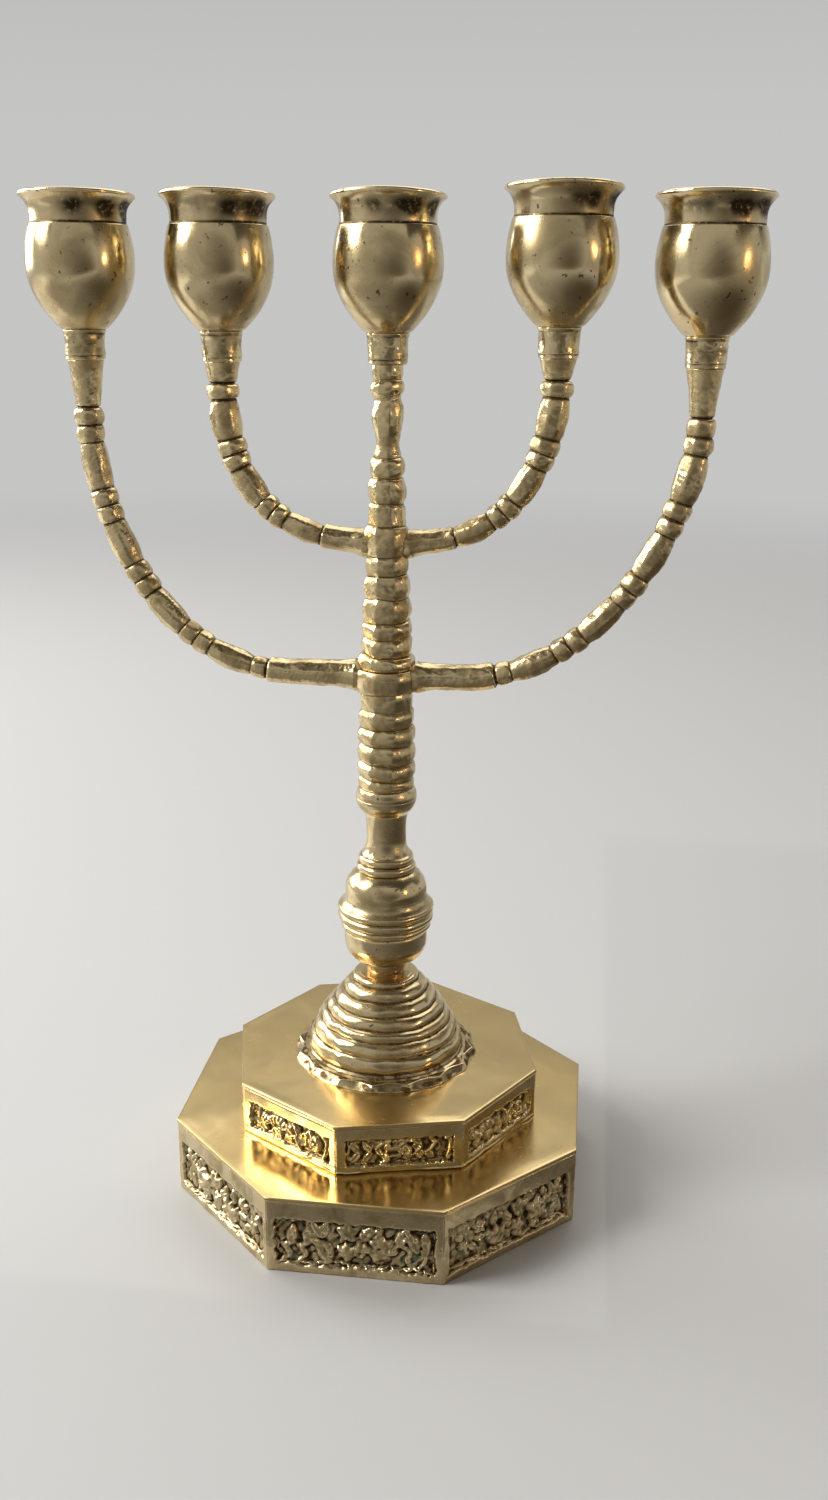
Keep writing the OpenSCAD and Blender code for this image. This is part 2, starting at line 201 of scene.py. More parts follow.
def rounded(path, radius):
    """A path with each inner corner cut by a small arc."""
    path = np.asarray(path, float)
    out = [path[0]]
    for before, corner, after in zip(path[:-2], path[1:-1], path[2:]):
        u, v = before - corner, after - corner
        lu, lv = np.linalg.norm(u), np.linalg.norm(v)
        cut = min(radius, lu * 0.45, lv * 0.45)
        p, q = corner + u / lu * cut, corner + v / lv * cut
        out += [(1 - t) ** 2 * p + 2 * t * (1 - t) * corner + t * t * q for t in (0, 0.25, 0.5, 0.75, 1)]
    out.append(path[-1])
    return np.array(out)


def relief_of(line, step, reach, depth):
    """0 in a groove to 1 on a crest of a closed or open line of (radius, height) points."""
    sigma = max(1.0, reach / step)
    ahead = np.gradient(line, axis=0)
    normal = np.stack([ahead[:, 1], -ahead[:, 0]], axis=1)
    normal /= np.linalg.norm(normal, axis=1, keepdims=True) + 1e-12
    # The materials paint low relief dark (dirt and painted shade) and lift high relief (wear and a painted
    # highlight).
    lift = np.einsum("ij,ij->i", line - smooth_along(line, sigma, 0, False), normal)
    return np.clip(0.5 + lift / depth, 0, 1)


def spun(angle, r, z):
    """Points at angles, radii and heights about the stem's axis."""
    return np.stack([r * np.cos(angle), r * np.sin(angle), z], axis=-1)


def turned(name, path, form=None, around=192, step=0.22, loop=False, reach=0.8, depth=0.5, darkening=None):
    """A piece turned about the stem's axis from a path of (radius, height), foot to top.

    form takes angle, radius and height arrays and gives the radius and height as made; darkening takes
    the same and gives what is added to the relief, less than 0 where the colour is made darker: by dirt in
    patches, and in places by painted shade.
    """
    line = walked(path, step)
    if loop:
        line = line[:-1]
    angle = np.broadcast_to(np.arange(around) * TAU / around, (len(line), around))
    r = np.broadcast_to(line[:, :1], angle.shape)
    z = np.broadcast_to(line[:, 1:], angle.shape)
    relief = np.repeat(relief_of(line, step, reach, depth)[:, None], around, axis=1)
    if darkening:
        relief = np.clip(relief + darkening(angle, r, z), 0, 1)
    if form:
        r, z = form(angle, r, z)
    rings = spun(angle, r, z)
    return outward(skin(name, rings, relief, loop))


def flats(angle, count, phase=0.0, strength=1.0):
    """Radius factor that cuts a number of flats on a round section."""
    turn = np.mod(angle - phase, TAU / count) - math.pi / count
    return 1 - strength * (1 - math.cos(math.pi / count) / np.cos(turn))


def placed(thing, x=0.0, z=0.0, turn=0.0):
    """Turns a mesh about its axis and sets it at x, z, all in the mesh itself."""
    thing.data.transform(Matrix.Translation((x * MM, 0, z * MM)) @ Matrix.Rotation(turn, 4, "Z"))
    return thing


def joined(base, others, cutter=None):
    """The union of closed meshes, less the cutter, as one closed mesh."""
    steps = [("UNION", other) for other in others]
    if cutter:
        steps.append(("DIFFERENCE", cutter))
    for operation, other in steps:
        cut = base.modifiers.new(operation, "BOOLEAN")
        cut.operation, cut.solver, cut.object = operation, "MANIFOLD", other
    whole = bpy.data.meshes.new_from_object(base.evaluated_get(bpy.context.evaluated_depsgraph_get()))
    base.modifiers.clear()
    base.data = whole
    for _, other in steps:
        bpy.data.objects.remove(other)
    return base


# ---- Materials ----------------------------------------------------------------

# Dark brown colours for pits and for grooves; in the grooves they are partly dirt and partly painted shade.
# The crest gain lifts worn crests above the clean metal as a painted highlight.
GRIME_AND_SHADE = (0.10, 0.062, 0.024)
SOOT_AND_SHADE = (0.045, 0.030, 0.015)
VERDIGRIS = (0.12, 0.22, 0.12)
ZINC = (0.52, 0.52, 0.50)
RUST = (0.30, 0.22, 0.16)
CREST_HIGHLIGHT_GAIN = 1.18


def new_material(name):
    """A material, its node tree and its shader."""
    made = bpy.data.materials.new(name)
    made.use_nodes = True
    return made, made.node_tree, made.node_tree.nodes["Principled BSDF"]


def node(tree, kind, **inputs):
    """A shader node with its input sockets set; a socket given another node's output is linked."""
    made = tree.nodes.new(kind)
    for key, value in inputs.items():
        socket = made.inputs[int(key[1:])] if key[0] == "i" and key[1:].isdigit() else made.inputs[key]
        if isinstance(value, bpy.types.NodeSocket):
            tree.links.new(value, socket)
        else:
            socket.default_value = value
    return made


def mask(tree, value, low, high):
    """0 where a value is at low, 1 where it is at high."""
    made = node(tree, "ShaderNodeMapRange", Value=value)
    made.inputs["From Min"].default_value = low
    made.inputs["From Max"].default_value = high
    made.interpolation_type = "SMOOTHSTEP"
    return made.outputs["Result"]


def maths(tree, operation, a, b):
    """The result of a sum on two values, kept between 0 and 1."""
    made = node(tree, "ShaderNodeMath", i0=a, i1=b)
    made.operation = operation
    made.use_clamp = True
    return made.outputs[0]


def between(tree, share, low, high):
    """low where share is 0, high where it is 1."""
    made = node(tree, "ShaderNodeMapRange", Value=share)
    made.inputs["To Min"].default_value = low
    made.inputs["To Max"].default_value = high
    return made.outputs["Result"]


def bump(tree, height, depth, under=None):
    """The normal over a bump of a depth in mm, which may lie over another."""
    made = node(tree, "ShaderNodeBump", Height=height, Distance=depth * MM)
    if under:
        tree.links.new(under, made.inputs["Normal"])
    return made.outputs[0]


def noise(tree, size, detail, stretch=None, distortion=0.0):
    """Noise over the object with blobs of about that size in mm; stretch scales X, Y and Z."""
    place = node(tree, "ShaderNodeTexCoord").outputs["Object"]
    if stretch:
        place = node(tree, "ShaderNodeMapping", Vector=place, Scale=stretch).outputs[0]
    made = node(tree, "ShaderNodeTexNoise", Vector=place, Scale=1 / (size * MM), Detail=detail,
                Roughness=0.6, Distortion=distortion)
    return made.outputs["Fac"]


def blended(tree, a, b, share):
    """Colour a where share is 0, colour b where it is 1."""
    made = tree.nodes.new("ShaderNodeMix")
    made.data_type = "RGBA"
    for socket, value in ((made.inputs[0], share), (made.inputs[6], a), (made.inputs[7], b)):
        if isinstance(value, bpy.types.NodeSocket):
            tree.links.new(value, socket)
        else:
            socket.default_value = (*value, 1.0) if isinstance(value, tuple) else value
    return made.outputs[2]


def brass(name, clean, tarnish, grime_and_shade=GRIME_AND_SHADE, gloss=0.18, dull=0.42, patch=14.0, grain=1.2, grain_depth=0.02,
          groove=(0.46, 0.2), soot=0.35, pits=0.0, lines=None, green=0.0):
    """Aged brass: clean metal, tarnish in patches, dirt and painted shade in the grooves, wear and a painted
    highlight on the crests.

    gloss and dull are the roughness of clean and tarnished metal. patch and grain are sizes in mm.
    groove is the relief where the dark groove colour (dirt and painted shade) starts and where it is full.
    soot, pits and green are amounts of dark speckle, dark pits and verdigris. lines is a fine scratch's
    size, stretch and depth.
    """
    made, tree, shader = new_material(name)
    relief = node(tree, "ShaderNodeAttribute")
    relief.attribute_name = "relief"
    high = relief.outputs["Fac"]
    fine = noise(tree, grain, 6.0)
    broad = noise(tree, patch, 5.0, distortion=0.6)
    # In the grooves the colour goes to the dark brown: dirt, and painted shade where light would be blocked.
    groove_grime_and_shade = maths(tree, "MULTIPLY", mask(tree, high, *groove), mask(tree, fine, 0.15, 0.5))
    crest_wear_and_highlight = mask(tree, high, 0.54, 0.8)
    aged = mask(tree, broad, 0.4, 0.66)
    speckle = mask(tree, fine, 0.6, 0.75)
    # Crests go lighter than the clean metal: wear, and a painted highlight.
    bright = tuple(min(1.0, c * CREST_HIGHLIGHT_GAIN) for c in clean)
    colour = blended(tree, clean, tarnish, aged)
    colour = blended(tree, colour, bright, maths(tree, "MULTIPLY", crest_wear_and_highlight, 0.8))
    colour = blended(tree, colour, tarnish, maths(tree, "MULTIPLY", speckle, soot))
    if pits:
        spots = mask(tree, noise(tree, grain * 1.6, 2.0), 0.72 - 0.1 * pits, 0.76 - 0.1 * pits)
        colour = blended(tree, colour, grime_and_shade, maths(tree, "MULTIPLY", spots, 0.8))
    colour = blended(tree, colour, grime_and_shade, groove_grime_and_shade)
    shader.inputs["Metallic"].default_value = 1.0
    if green:
        mossy = maths(tree, "MULTIPLY", mask(tree, high, 0.5, 0.25),
                      mask(tree, noise(tree, 5.0, 5.0), 0.62 - 0.1 * green, 0.7 - 0.1 * green))
        colour = blended(tree, colour, VERDIGRIS, mossy)
        bare = maths(tree, "SUBTRACT", 1.0, maths(tree, "MULTIPLY", mossy, 0.8))
        tree.links.new(bare, shader.inputs["Metallic"])
    tree.links.new(colour, shader.inputs["Base Color"])
    rough = maths(tree, "ADD", between(tree, aged, gloss, dull), maths(tree, "MULTIPLY", groove_grime_and_shade, 0.35))
    rough = maths(tree, "ADD", rough, maths(tree, "MULTIPLY", speckle, 0.08))
    tree.links.new(rough, shader.inputs["Roughness"])
    normal = bump(tree, fine, grain_depth)
    if lines:
        size, stretch, depth = lines
        normal = bump(tree, noise(tree, size, 3.0, stretch), depth, normal)
    tree.links.new(normal, shader.inputs["Normal"])
    return made


def plated_steel():
    """Dull zinc-plated steel with a little rust in patches."""
    made, tree, shader = new_material("steel")
    aged = mask(tree, noise(tree, 3.0, 6.0), 0.5, 0.7)
    tree.links.new(blended(tree, ZINC, RUST, aged), shader.inputs["Base Color"])
    shader.inputs["Metallic"].default_value = 1.0
    tree.links.new(between(tree, aged, 0.3, 0.6), shader.inputs["Roughness"])
    tree.links.new(bump(tree, noise(tree, 0.6, 5.0), 0.015), shader.inputs["Normal"])
    return made


ALONG_Y, ROUND_AXIS = (1.0, 0.12, 1.0), (0.08, 0.08, 1.0)
FINISHES = {
    "plate_brass": dict(
        clean=(0.74, 0.565, 0.275), tarnish=(0.64, 0.475, 0.215), gloss=0.17, dull=0.25, patch=26,
        grain=1.6, grain_depth=0.004, lines=(0.5, ALONG_Y, 0.003)),
    "relief_brass": dict(
        clean=(0.62, 0.50, 0.29), tarnish=(0.38, 0.29, 0.15), grime_and_shade=SOOT_AND_SHADE, gloss=0.24, patch=9,
        grain=0.8, grain_depth=0.04, groove=(0.38, 0.04), green=0.35),
    "panel_brass": dict(
        clean=(0.70, 0.55, 0.29), tarnish=(0.52, 0.39, 0.19), gloss=0.16, dull=0.3, patch=10,
        grain=0.9, groove=(0.34, 0.02)),
    "dome_brass": dict(
        clean=(0.74, 0.595, 0.345), tarnish=(0.54, 0.41, 0.215), gloss=0.15, dull=0.32, patch=8,
        grain=0.9, pits=0.3),
    "turned_brass": dict(
        clean=(0.71, 0.57, 0.33), tarnish=(0.47, 0.365, 0.195), gloss=0.17, dull=0.34, patch=9,
        grain=1.0, grain_depth=0.012, pits=0.4, lines=(0.9, ROUND_AXIS, 0.006)),
    "branch_brass": dict(
        clean=(0.70, 0.56, 0.315), tarnish=(0.45, 0.34, 0.175), gloss=0.19, dull=0.38, patch=7,
        grain=0.9, grain_depth=0.04, soot=0.5),
    "cup_brass": dict(
        clean=(0.71, 0.575, 0.335), tarnish=(0.48, 0.375, 0.20), grime_and_shade=SOOT_AND_SHADE, gloss=0.15, dull=0.3,
        patch=12, grain=1.1, grain_depth=0.01, pits=0.5, lines=(0.8, ROUND_AXIS, 0.005)),
    "thread_brass": dict(
        clean=(0.56, 0.38, 0.18), tarnish=(0.38, 0.25, 0.11), gloss=0.24, patch=4, grain=0.6,
        grain_depth=0.012),
}
MATERIALS = {name: brass(name, **finish) for name, finish in FINISHES.items()}
MATERIALS["steel"] = plated_steel()


def fitted(piece, body, slot, *nodes):
    """Gives a piece its material, its body and the CAD nodes that it stands for."""
    piece.data.materials.clear()
    piece.data.materials.append(MATERIALS[slot])
    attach(piece, body)
    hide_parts(*nodes)


# ---- Base plates --------------------------------------------------------------

def octagon_plate(name, width, cad_node, turn, seed):
    """A sheet-metal octagon with softened edges and a slightly uneven top."""
    z0, z1 = ends_of(cad_node)
    half = (width + PLATE_LAP) / 2
    path = rounded(bored([(half, z0), (half, z1)], z0, z1), PLATE_EDGE)

    def form(angle, r, z):
        octagon = flats(angle, SIDES, -math.pi / SIDES, 1.0) / math.cos(math.pi / SIDES)
        share = np.clip((r - ROD_BORE) / (half - ROD_BORE), 0, 1)
        spots = spun(angle, r, np.zeros_like(r))
        on_top = (z > (z0 + z1) / 2) * np.clip((half - r) / 3, 0.2, 1)
        uneven = (0.05 * waves(spots, 38, seed) + 0.006 * waves(spots, 9, seed + 1)) * on_top
        return r * (1 + (octagon - 1) * share), z + uneven

    plate = turned(name, path, form, around=256, step=0.7, loop=True, reach=0.4, depth=0.6)
    return placed(plate, turn=turn)


fitted(octagon_plate("lower_plate", LOWER_W, "lower_plinth_top", 0, 11),
       "base", "plate_brass", "lower_plinth_top")
fitted(octagon_plate("upper_plate", UPPER_W, "upper_plinth_top", UPPER_TURN, 21),
       "upper_tier", "plate_brass", "upper_plinth_top")


# ---- Cast relief panels -------------------------------------------------------

class Field:
    """A sunk field on which shapes are raised. Places are shares of its width and height."""

    def __init__(self, x, z, left, right, foot, head, chunk, hollow):
        self.x, self.z = x, z
        self.chunk, self.hollow = chunk, hollow
        self.left, self.foot = left, foot
        self.w, self.h = right - left, head - foot
        self.height = np.zeros_like(x)

    def at(self, place):
        return np.array([self.left + place[0] * self.w, self.foot + place[1] * self.h])

    def add(self, shape):
        self.height = np.maximum(self.height, shape)

    def stroke(self, places, start, end=None, top=1.3):
        """A rounded line through places, its half-width going from start to end."""
        end = (start if end is None else end) * self.chunk
        start *= self.chunk
        knots = np.array([self.at(p) for p in places])
        line = curve_through(knots, 10)
        shape = np.zeros_like(self.x)
        for i, (p, q) in enumerate(zip(line[:-1], line[1:])):
            d = q - p
            t = np.clip(((self.x - p[0]) * d[0] + (self.z - p[1]) * d[1]) / (d @ d + 1e-9), 0, 1)
            far = np.hypot(self.x - p[0] - t * d[0], self.z - p[1] - t * d[1])
            half = start + (end - start) * (i + t) / (len(line) - 1)
            shape = np.maximum(shape, top * np.sqrt(np.clip(1 - (far / half) ** 2, 0, 1)))
        self.add(shape)

    def leaf(self, place, way, length, half, top=1.5, veins=0, fold=0.35):
        """A pointed leaf from a place, in a direction in degrees, with a folded midrib and veins."""
        c, s = math.cos(math.radians(way)), math.sin(math.radians(way))
        p = self.at(place)
        half *= self.chunk
        length *= self.chunk ** 0.4
        along = ((self.x - p[0]) * c + (self.z - p[1]) * s) / length
        across = (-(self.x - p[0]) * s + (self.z - p[1]) * c)
        inside = np.clip(along, 0, 1)
        edge = half * np.sin(math.pi * inside ** 0.8) ** 0.75 + 1e-6
        side = np.abs(across) / edge
        body = top * np.clip(1 - side ** (2.2 + 4 * self.hollow), 0, 1) ** 0.5
        body *= 1 - fold * np.exp(-(across / (0.25 * half)) ** 2)
        body *= 1 - self.hollow * np.clip(1 - side ** 2, 0, 1)
        if veins:
            body *= 1 - 0.16 * (0.5 + 0.5 * np.cos(TAU * veins * (inside - 0.35 * side * half / length)))
        self.add(body * ((along > 0) & (along < 1) & (side < 1)))

    def rose(self, place, radius, petals=5, top=1.9, twist=0.0, seed=0):
        """A rose: knobby outer petals, a spiral fold within and a small heart."""
        p = self.at(place)
        far = np.hypot(self.x - p[0], self.z - p[1])
        angle = np.arctan2(self.z - p[1], self.x - p[0])
        rim = radius * (1 + 0.13 * np.cos(petals * (angle + twist)) + 0.04 * np.sin(3 * angle + seed))
        share = far / rim
        dome = top * np.clip(1 - share ** 3, 0, 1) ** 0.5
        clefts = 0.2 * np.clip(share * 1.4 - 0.4, 0, 1) * (0.5 - 0.5 * np.cos(petals * (angle + twist)))
        folds = 0.24 * (0.5 + 0.5 * np.cos(TAU * 2.2 * share - angle + twist)) * np.clip(1.15 - share, 0, 1)
        self.add(dome * (1 - clefts - folds))

    def fan(self, place, way, spread, inner, outer, ribs, top=1.4):
        """A ribbed fan between two radii, opening by spread degrees about a direction."""
        p = self.at(place)
        far = np.hypot(self.x - p[0], self.z - p[1])
        angle = np.degrees(np.arctan2(self.z - p[1], self.x - p[0]))
        off = (angle - way + 180) % 360 - 180
        inside = (np.abs(off) < spread / 2) & (far > inner) & (far < outer)
        ribbed = 0.6 + 0.4 * np.abs(np.cos(math.pi * ribs * (off / spread + 0.5)))
        swell = np.sin(math.pi * np.clip((far - inner) / (outer - inner), 0, 1)) ** 0.5
        self.add(top * ribbed * swell * inside)

    def curl(self, place, radius, turns, start, half=0.5, end=None, top=1.4):
        """A spiral scroll wound inwards from radius, starting at an angle in degrees."""
        p = self.at(place)
        steps = np.linspace(0, 1, 6 + int(10 * abs(turns)))
        angle = math.radians(start) + steps * turns * TAU
        size = radius * (1 - 0.8 * steps)
        places = [((p[0] + r * math.cos(a) - self.left) / self.w,
                   (p[1] + r * math.sin(a) - self.foot) / self.h) for r, a in zip(size, angle)]
        self.stroke(places, half, half if end is None else end, top)

    def bud(self, place, radius, top=1.3):
        """A round knob."""
        p = self.at(place)
        far = np.hypot(self.x - p[0], self.z - p[1]) / (radius * self.chunk)
        self.add(top * np.sqrt(np.clip(1 - far ** 2, 0, 1)))

    def undergrowth(self, seed, count, low, high):
        """Small leaves and buds that fill the field between the larger shapes, and stand lower."""
        rng = np.random.default_rng(seed)
        for _ in range(count):
            place = rng.uniform((0.02, 0.04), (0.98, 0.96))
            top = rng.uniform(low, high)
            if rng.random() < 0.6:
                way, length, half = rng.uniform(0, 360), rng.uniform(2.2, 4.2), rng.uniform(0.6, 1.0)
                self.leaf(place, way, length, half, top, fold=0.25)
            else:
                self.bud(place, rng.uniform(0.5, 0.9), top)


def curve_through(knots, pieces):
    """A smooth curve through a row of points."""
    if len(knots) < 3:
        return np.array([knots[0] + (knots[-1] - knots[0]) * t for t in np.linspace(0, 1, 5)])
    ends = np.vstack([2 * knots[0] - knots[1], knots, 2 * knots[-1] - knots[-2]])
    out = []
    for a, b, c, d in zip(ends[:-3], ends[1:-2], ends[2:-1], ends[3:]):
        for t in np.arange(pieces) / pieces:
            out.append(0.5 * (2 * b + (c - a) * t + (2 * a - 5 * b + 4 * c - d) * t * t
                              + (3 * b - a - 3 * c + d) * t ** 3))
    out.append(knots[-1])
    return np.array(out)


def rose_branch(f):
    """S-stems with buds, a lily, a basket of blossom, a big rose and a drooping leaf."""
    for shift, tall in ((0.0, 0.0), (0.1, 0.04)):
        stem = [(0.04, 0.06), (0.09, 0.2), (0.065, 0.36), (0.11, 0.5 + tall)]
        f.stroke([(x + shift, z) for x, z in stem], 0.5, 0.8, 1.4)
        f.leaf((0.1 + shift, 0.45 + tall), 84, 5.2, 1.3, 1.6, fold=0.2)
        f.leaf((0.08 + shift, 0.34), 150, 2.4, 0.8, 1.1)
    f.leaf((0.27, 0.62), 118, 5.6, 1.5, 1.7)
    f.leaf((0.285, 0.62), 72, 5.0, 1.3, 1.6)
    f.leaf((0.26, 0.66), 160, 3.4, 1.1, 1.5)
    f.stroke([(0.2, 0.66), (0.26, 0.52), (0.3, 0.3), (0.335, 0.1)], 1.0, 0.7, 1.7)
    f.leaf((0.28, 0.55), -66, 6.6, 1.9, 1.8, veins=4)
    f.leaf((0.32, 0.28), -100, 3.4, 1.2, 1.3)
    f.leaf((0.3, 0.16), 10, 3.0, 0.9, 1.0)
    for k in range(5):
        f.leaf((0.455, 0.8), 18 + 72 * k, 2.9, 1.05, 1.8, fold=0.3)
    f.bud((0.455, 0.8), 0.9, 2.0)
    f.rose((0.445, 0.34), 2.7, 6, 1.8, 0.5)
    f.leaf((0.455, 0.12), 95, 5.0, 1.3, 1.3, veins=5)
    f.leaf((0.52, 0.2), 78, 6.4, 1.5, 1.7, veins=4)
    f.leaf((0.54, 0.62), 58, 5.0, 1.4, 1.9, veins=3)
    f.leaf((0.5, 0.62), 20, 3.0, 0.9, 1.4)
    f.rose((0.665, 0.47), 4.3, 7, 2.0, 0.2, seed=2)
    for k in range(4):
        f.bud((0.585 + 0.028 * k, 0.44 - 0.09 * k + 0.02 * k * k), 0.95, 1.75)
    f.leaf((0.6, 0.72), 38, 3.6, 1.2, 1.5)
    f.stroke([(0.73, 0.4), (0.775, 0.62), (0.8, 0.8)], 0.55, 0.9, 1.4)
    f.leaf((0.76, 0.6), 58, 6.0, 1.4, 1.8, veins=4)
    f.leaf((0.85, 0.86), -72, 5.4, 1.3, 1.7)
    f.stroke([(0.79, 0.58), (0.845, 0.46), (0.83, 0.3)], 0.5, 0.7, 1.4)
    f.bud((0.83, 0.27), 0.8, 1.4)
    f.leaf((0.93, 0.9), -80, 6.0, 1.1, 1.4)
    f.stroke([(0.9, 0.08), (0.94, 0.3), (0.925, 0.5)], 0.45, 0.6, 1.1)


def tulip_branch(f):
    """Small blossoms, a tulip, a striated fan, stacked flowers, a spiral rose and a leaf spray."""
    f.rose((0.13, 0.42), 1.9, 5, 1.5, 0.3)
    f.bud((0.09, 0.66), 1.0, 1.3)
    f.rose((0.25, 0.72), 2.3, 5, 1.7, 0.9)
    f.leaf((0.17, 0.36), -30, 3.4, 0.9, 1.2)
    f.leaf((0.3, 0.42), 170, 3.6, 0.9, 1.2)
    for way in (62, 90, 118):
        f.leaf((0.385, 0.14), way, 5.6, 1.35, 1.9, fold=0.15)
    f.stroke([(0.3, 0.46), (0.35, 0.34), (0.385, 0.2)], 0.5, 0.7, 1.3)
    f.leaf((0.36, 0.56), 76, 4.0, 0.9, 1.4)
    f.fan((0.55, 0.52), 168, 74, 1.2, 5.4, 5, 1.8)
    f.fan((0.54, 0.3), 200, 60, 1.0, 3.8, 4, 1.5)
    f.rose((0.565, 0.34), 2.4, 5, 1.8, 0.2)
    f.leaf((0.57, 0.06), 92, 3.6, 1.4, 1.6)
    f.leaf((0.58, 0.52), 96, 3.8, 1.3, 1.8)
    for way in (60, 96, 132):
        f.leaf((0.585, 0.64), way, 3.8, 1.2, 1.8, fold=0.2)
    f.rose((0.735, 0.5), 3.9, 5, 2.0, 1.1)
    f.curl((0.735, 0.5), 2.3, 1.3, 20, 0.55, 0.45, 2.1)
    f.rose((0.715, 0.18), 2.0, 5, 1.6, 0.1)
    f.bud((0.8, 0.3), 1.0, 1.5)
    f.stroke([(0.77, 0.62), (0.85, 0.72), (0.93, 0.92)], 0.6, 0.5, 1.6)
    for t in (0.8, 0.86, 0.91):
        f.leaf((t, 0.5 * t + 0.26), 96, 3.3, 0.85, 1.6)
        f.leaf((t, 0.5 * t + 0.24), 4, 2.6, 0.8, 1.3)
    f.leaf((0.86, 0.1), 62, 4.4, 1.0, 1.0)
    f.leaf((0.94, 0.12), 96, 5.0, 0.9, 1.0)


def chevron_scroll(f):
    """Two chevron leaves, a lobed scroll, a small rosette between curls, two S-leaves and a hook."""
    for tip, lift in ((0.12, 0.0), (0.235, 0.02)):
        f.leaf((tip + 0.005, 0.5 + lift), 128, 3.7, 0.85, 1.7, fold=0.3)
        f.leaf((tip + 0.005, 0.5 + lift), -128, 3.7, 0.85, 1.7, fold=0.3)
    f.stroke([(0.025, 0.25), (0.02, 0.5), (0.03, 0.75)], 0.4, 0.4, 1.2)
    f.leaf((0.25, 0.62), 60, 2.2, 0.6, 1.1)
    f.stroke([(0.40, 0.93), (0.33, 0.82), (0.295, 0.6), (0.33, 0.4), (0.385, 0.24)], 0.55, 0.8, 1.5)
    f.stroke([(0.40, 0.95), (0.385, 0.7), (0.375, 0.45), (0.395, 0.18), (0.32, 0.1)], 0.6, 0.45, 1.8)
    f.leaf((0.34, 0.5), 60, 2.6, 0.8, 1.4)
    f.stroke([(0.42, 0.62), (0.49, 0.62)], 0.8, 0.8, 1.6)
    f.bud((0.455, 0.86), 0.7, 1.4)
    f.stroke([(0.43, 0.3), (0.5, 0.28)], 0.5, 0.5, 1.2)
    f.curl((0.56, 0.56), 2.1, 1.35, 100, 0.5, 0.55, 1.6)
    f.stroke([(0.47, 0.8), (0.52, 0.92), (0.6, 0.86)], 0.45, 0.5, 1.4)
    f.leaf((0.54, 0.16), 20, 2.8, 0.6, 1.2)
    f.leaf((0.665, 0.48), 84, 3.6, 1.15, 1.9, fold=0.25)
    f.leaf((0.66, 0.5), -60, 2.9, 1.0, 1.6, fold=0.25)
    f.stroke([(0.62, 0.92), (0.69, 0.8), (0.7, 0.62), (0.655, 0.48)], 0.5, 0.4, 1.7)
    f.stroke([(0.79, 0.97), (0.825, 0.8), (0.79, 0.58), (0.745, 0.44)], 0.65, 0.4, 1.8)
    f.leaf((0.745, 0.44), -42, 3.0, 0.9, 1.5, fold=0.25)
    f.stroke([(0.85, 0.84), (0.88, 0.62), (0.85, 0.46)], 0.35, 0.3, 1.0)
    f.stroke([(0.935, 0.97), (0.975, 0.86), (0.97, 0.5), (0.955, 0.16)], 0.5, 0.6, 1.7)


def fan_scroll(f):
    """Ribbed fans over bright leaves, a small blossom, crossing leaves and a scrolled end."""
    f.fan((0.12, 0.18), 70, 80, 1.6, 4.9, 5, 1.5)
    f.leaf((0.1, 0.3), -20, 3.0, 1.1, 1.8, fold=0.2)
    f.leaf((0.05, 0.5), 66, 3.4, 0.8, 1.4)
    f.fan((0.32, 0.24), 84, 110, 1.7, 5.3, 6, 1.5)
    f.leaf((0.27, 0.12), 34, 3.4, 1.1, 1.9, fold=0.2)
    f.leaf((0.34, 0.42), -66, 3.2, 1.0, 1.8, fold=0.2)
    f.rose((0.485, 0.56), 1.8, 5, 1.7, 0.4)
    f.leaf((0.42, 0.26), -24, 4.4, 0.75, 1.6, fold=0.2)
    f.leaf((0.47, 0.12), 38, 3.6, 0.75, 1.5, fold=0.2)
    f.stroke([(0.55, 0.9), (0.61, 0.7), (0.59, 0.42), (0.63, 0.12)], 0.45, 0.55, 1.6)
    f.leaf((0.64, 0.2), 64, 4.4, 1.4, 1.9, fold=0.3)
    f.leaf((0.72, 0.88), -58, 3.6, 1.0, 1.7)
    f.curl((0.82, 0.56), 2.2, 1.2, 200, 0.55, 0.5, 1.6)
    f.leaf((0.76, 0.2), 16, 3.4, 0.8, 1.4)
    f.stroke([(0.93, 0.95), (0.975, 0.8), (0.965, 0.4), (0.93, 0.12)], 0.5, 0.6, 1.6)


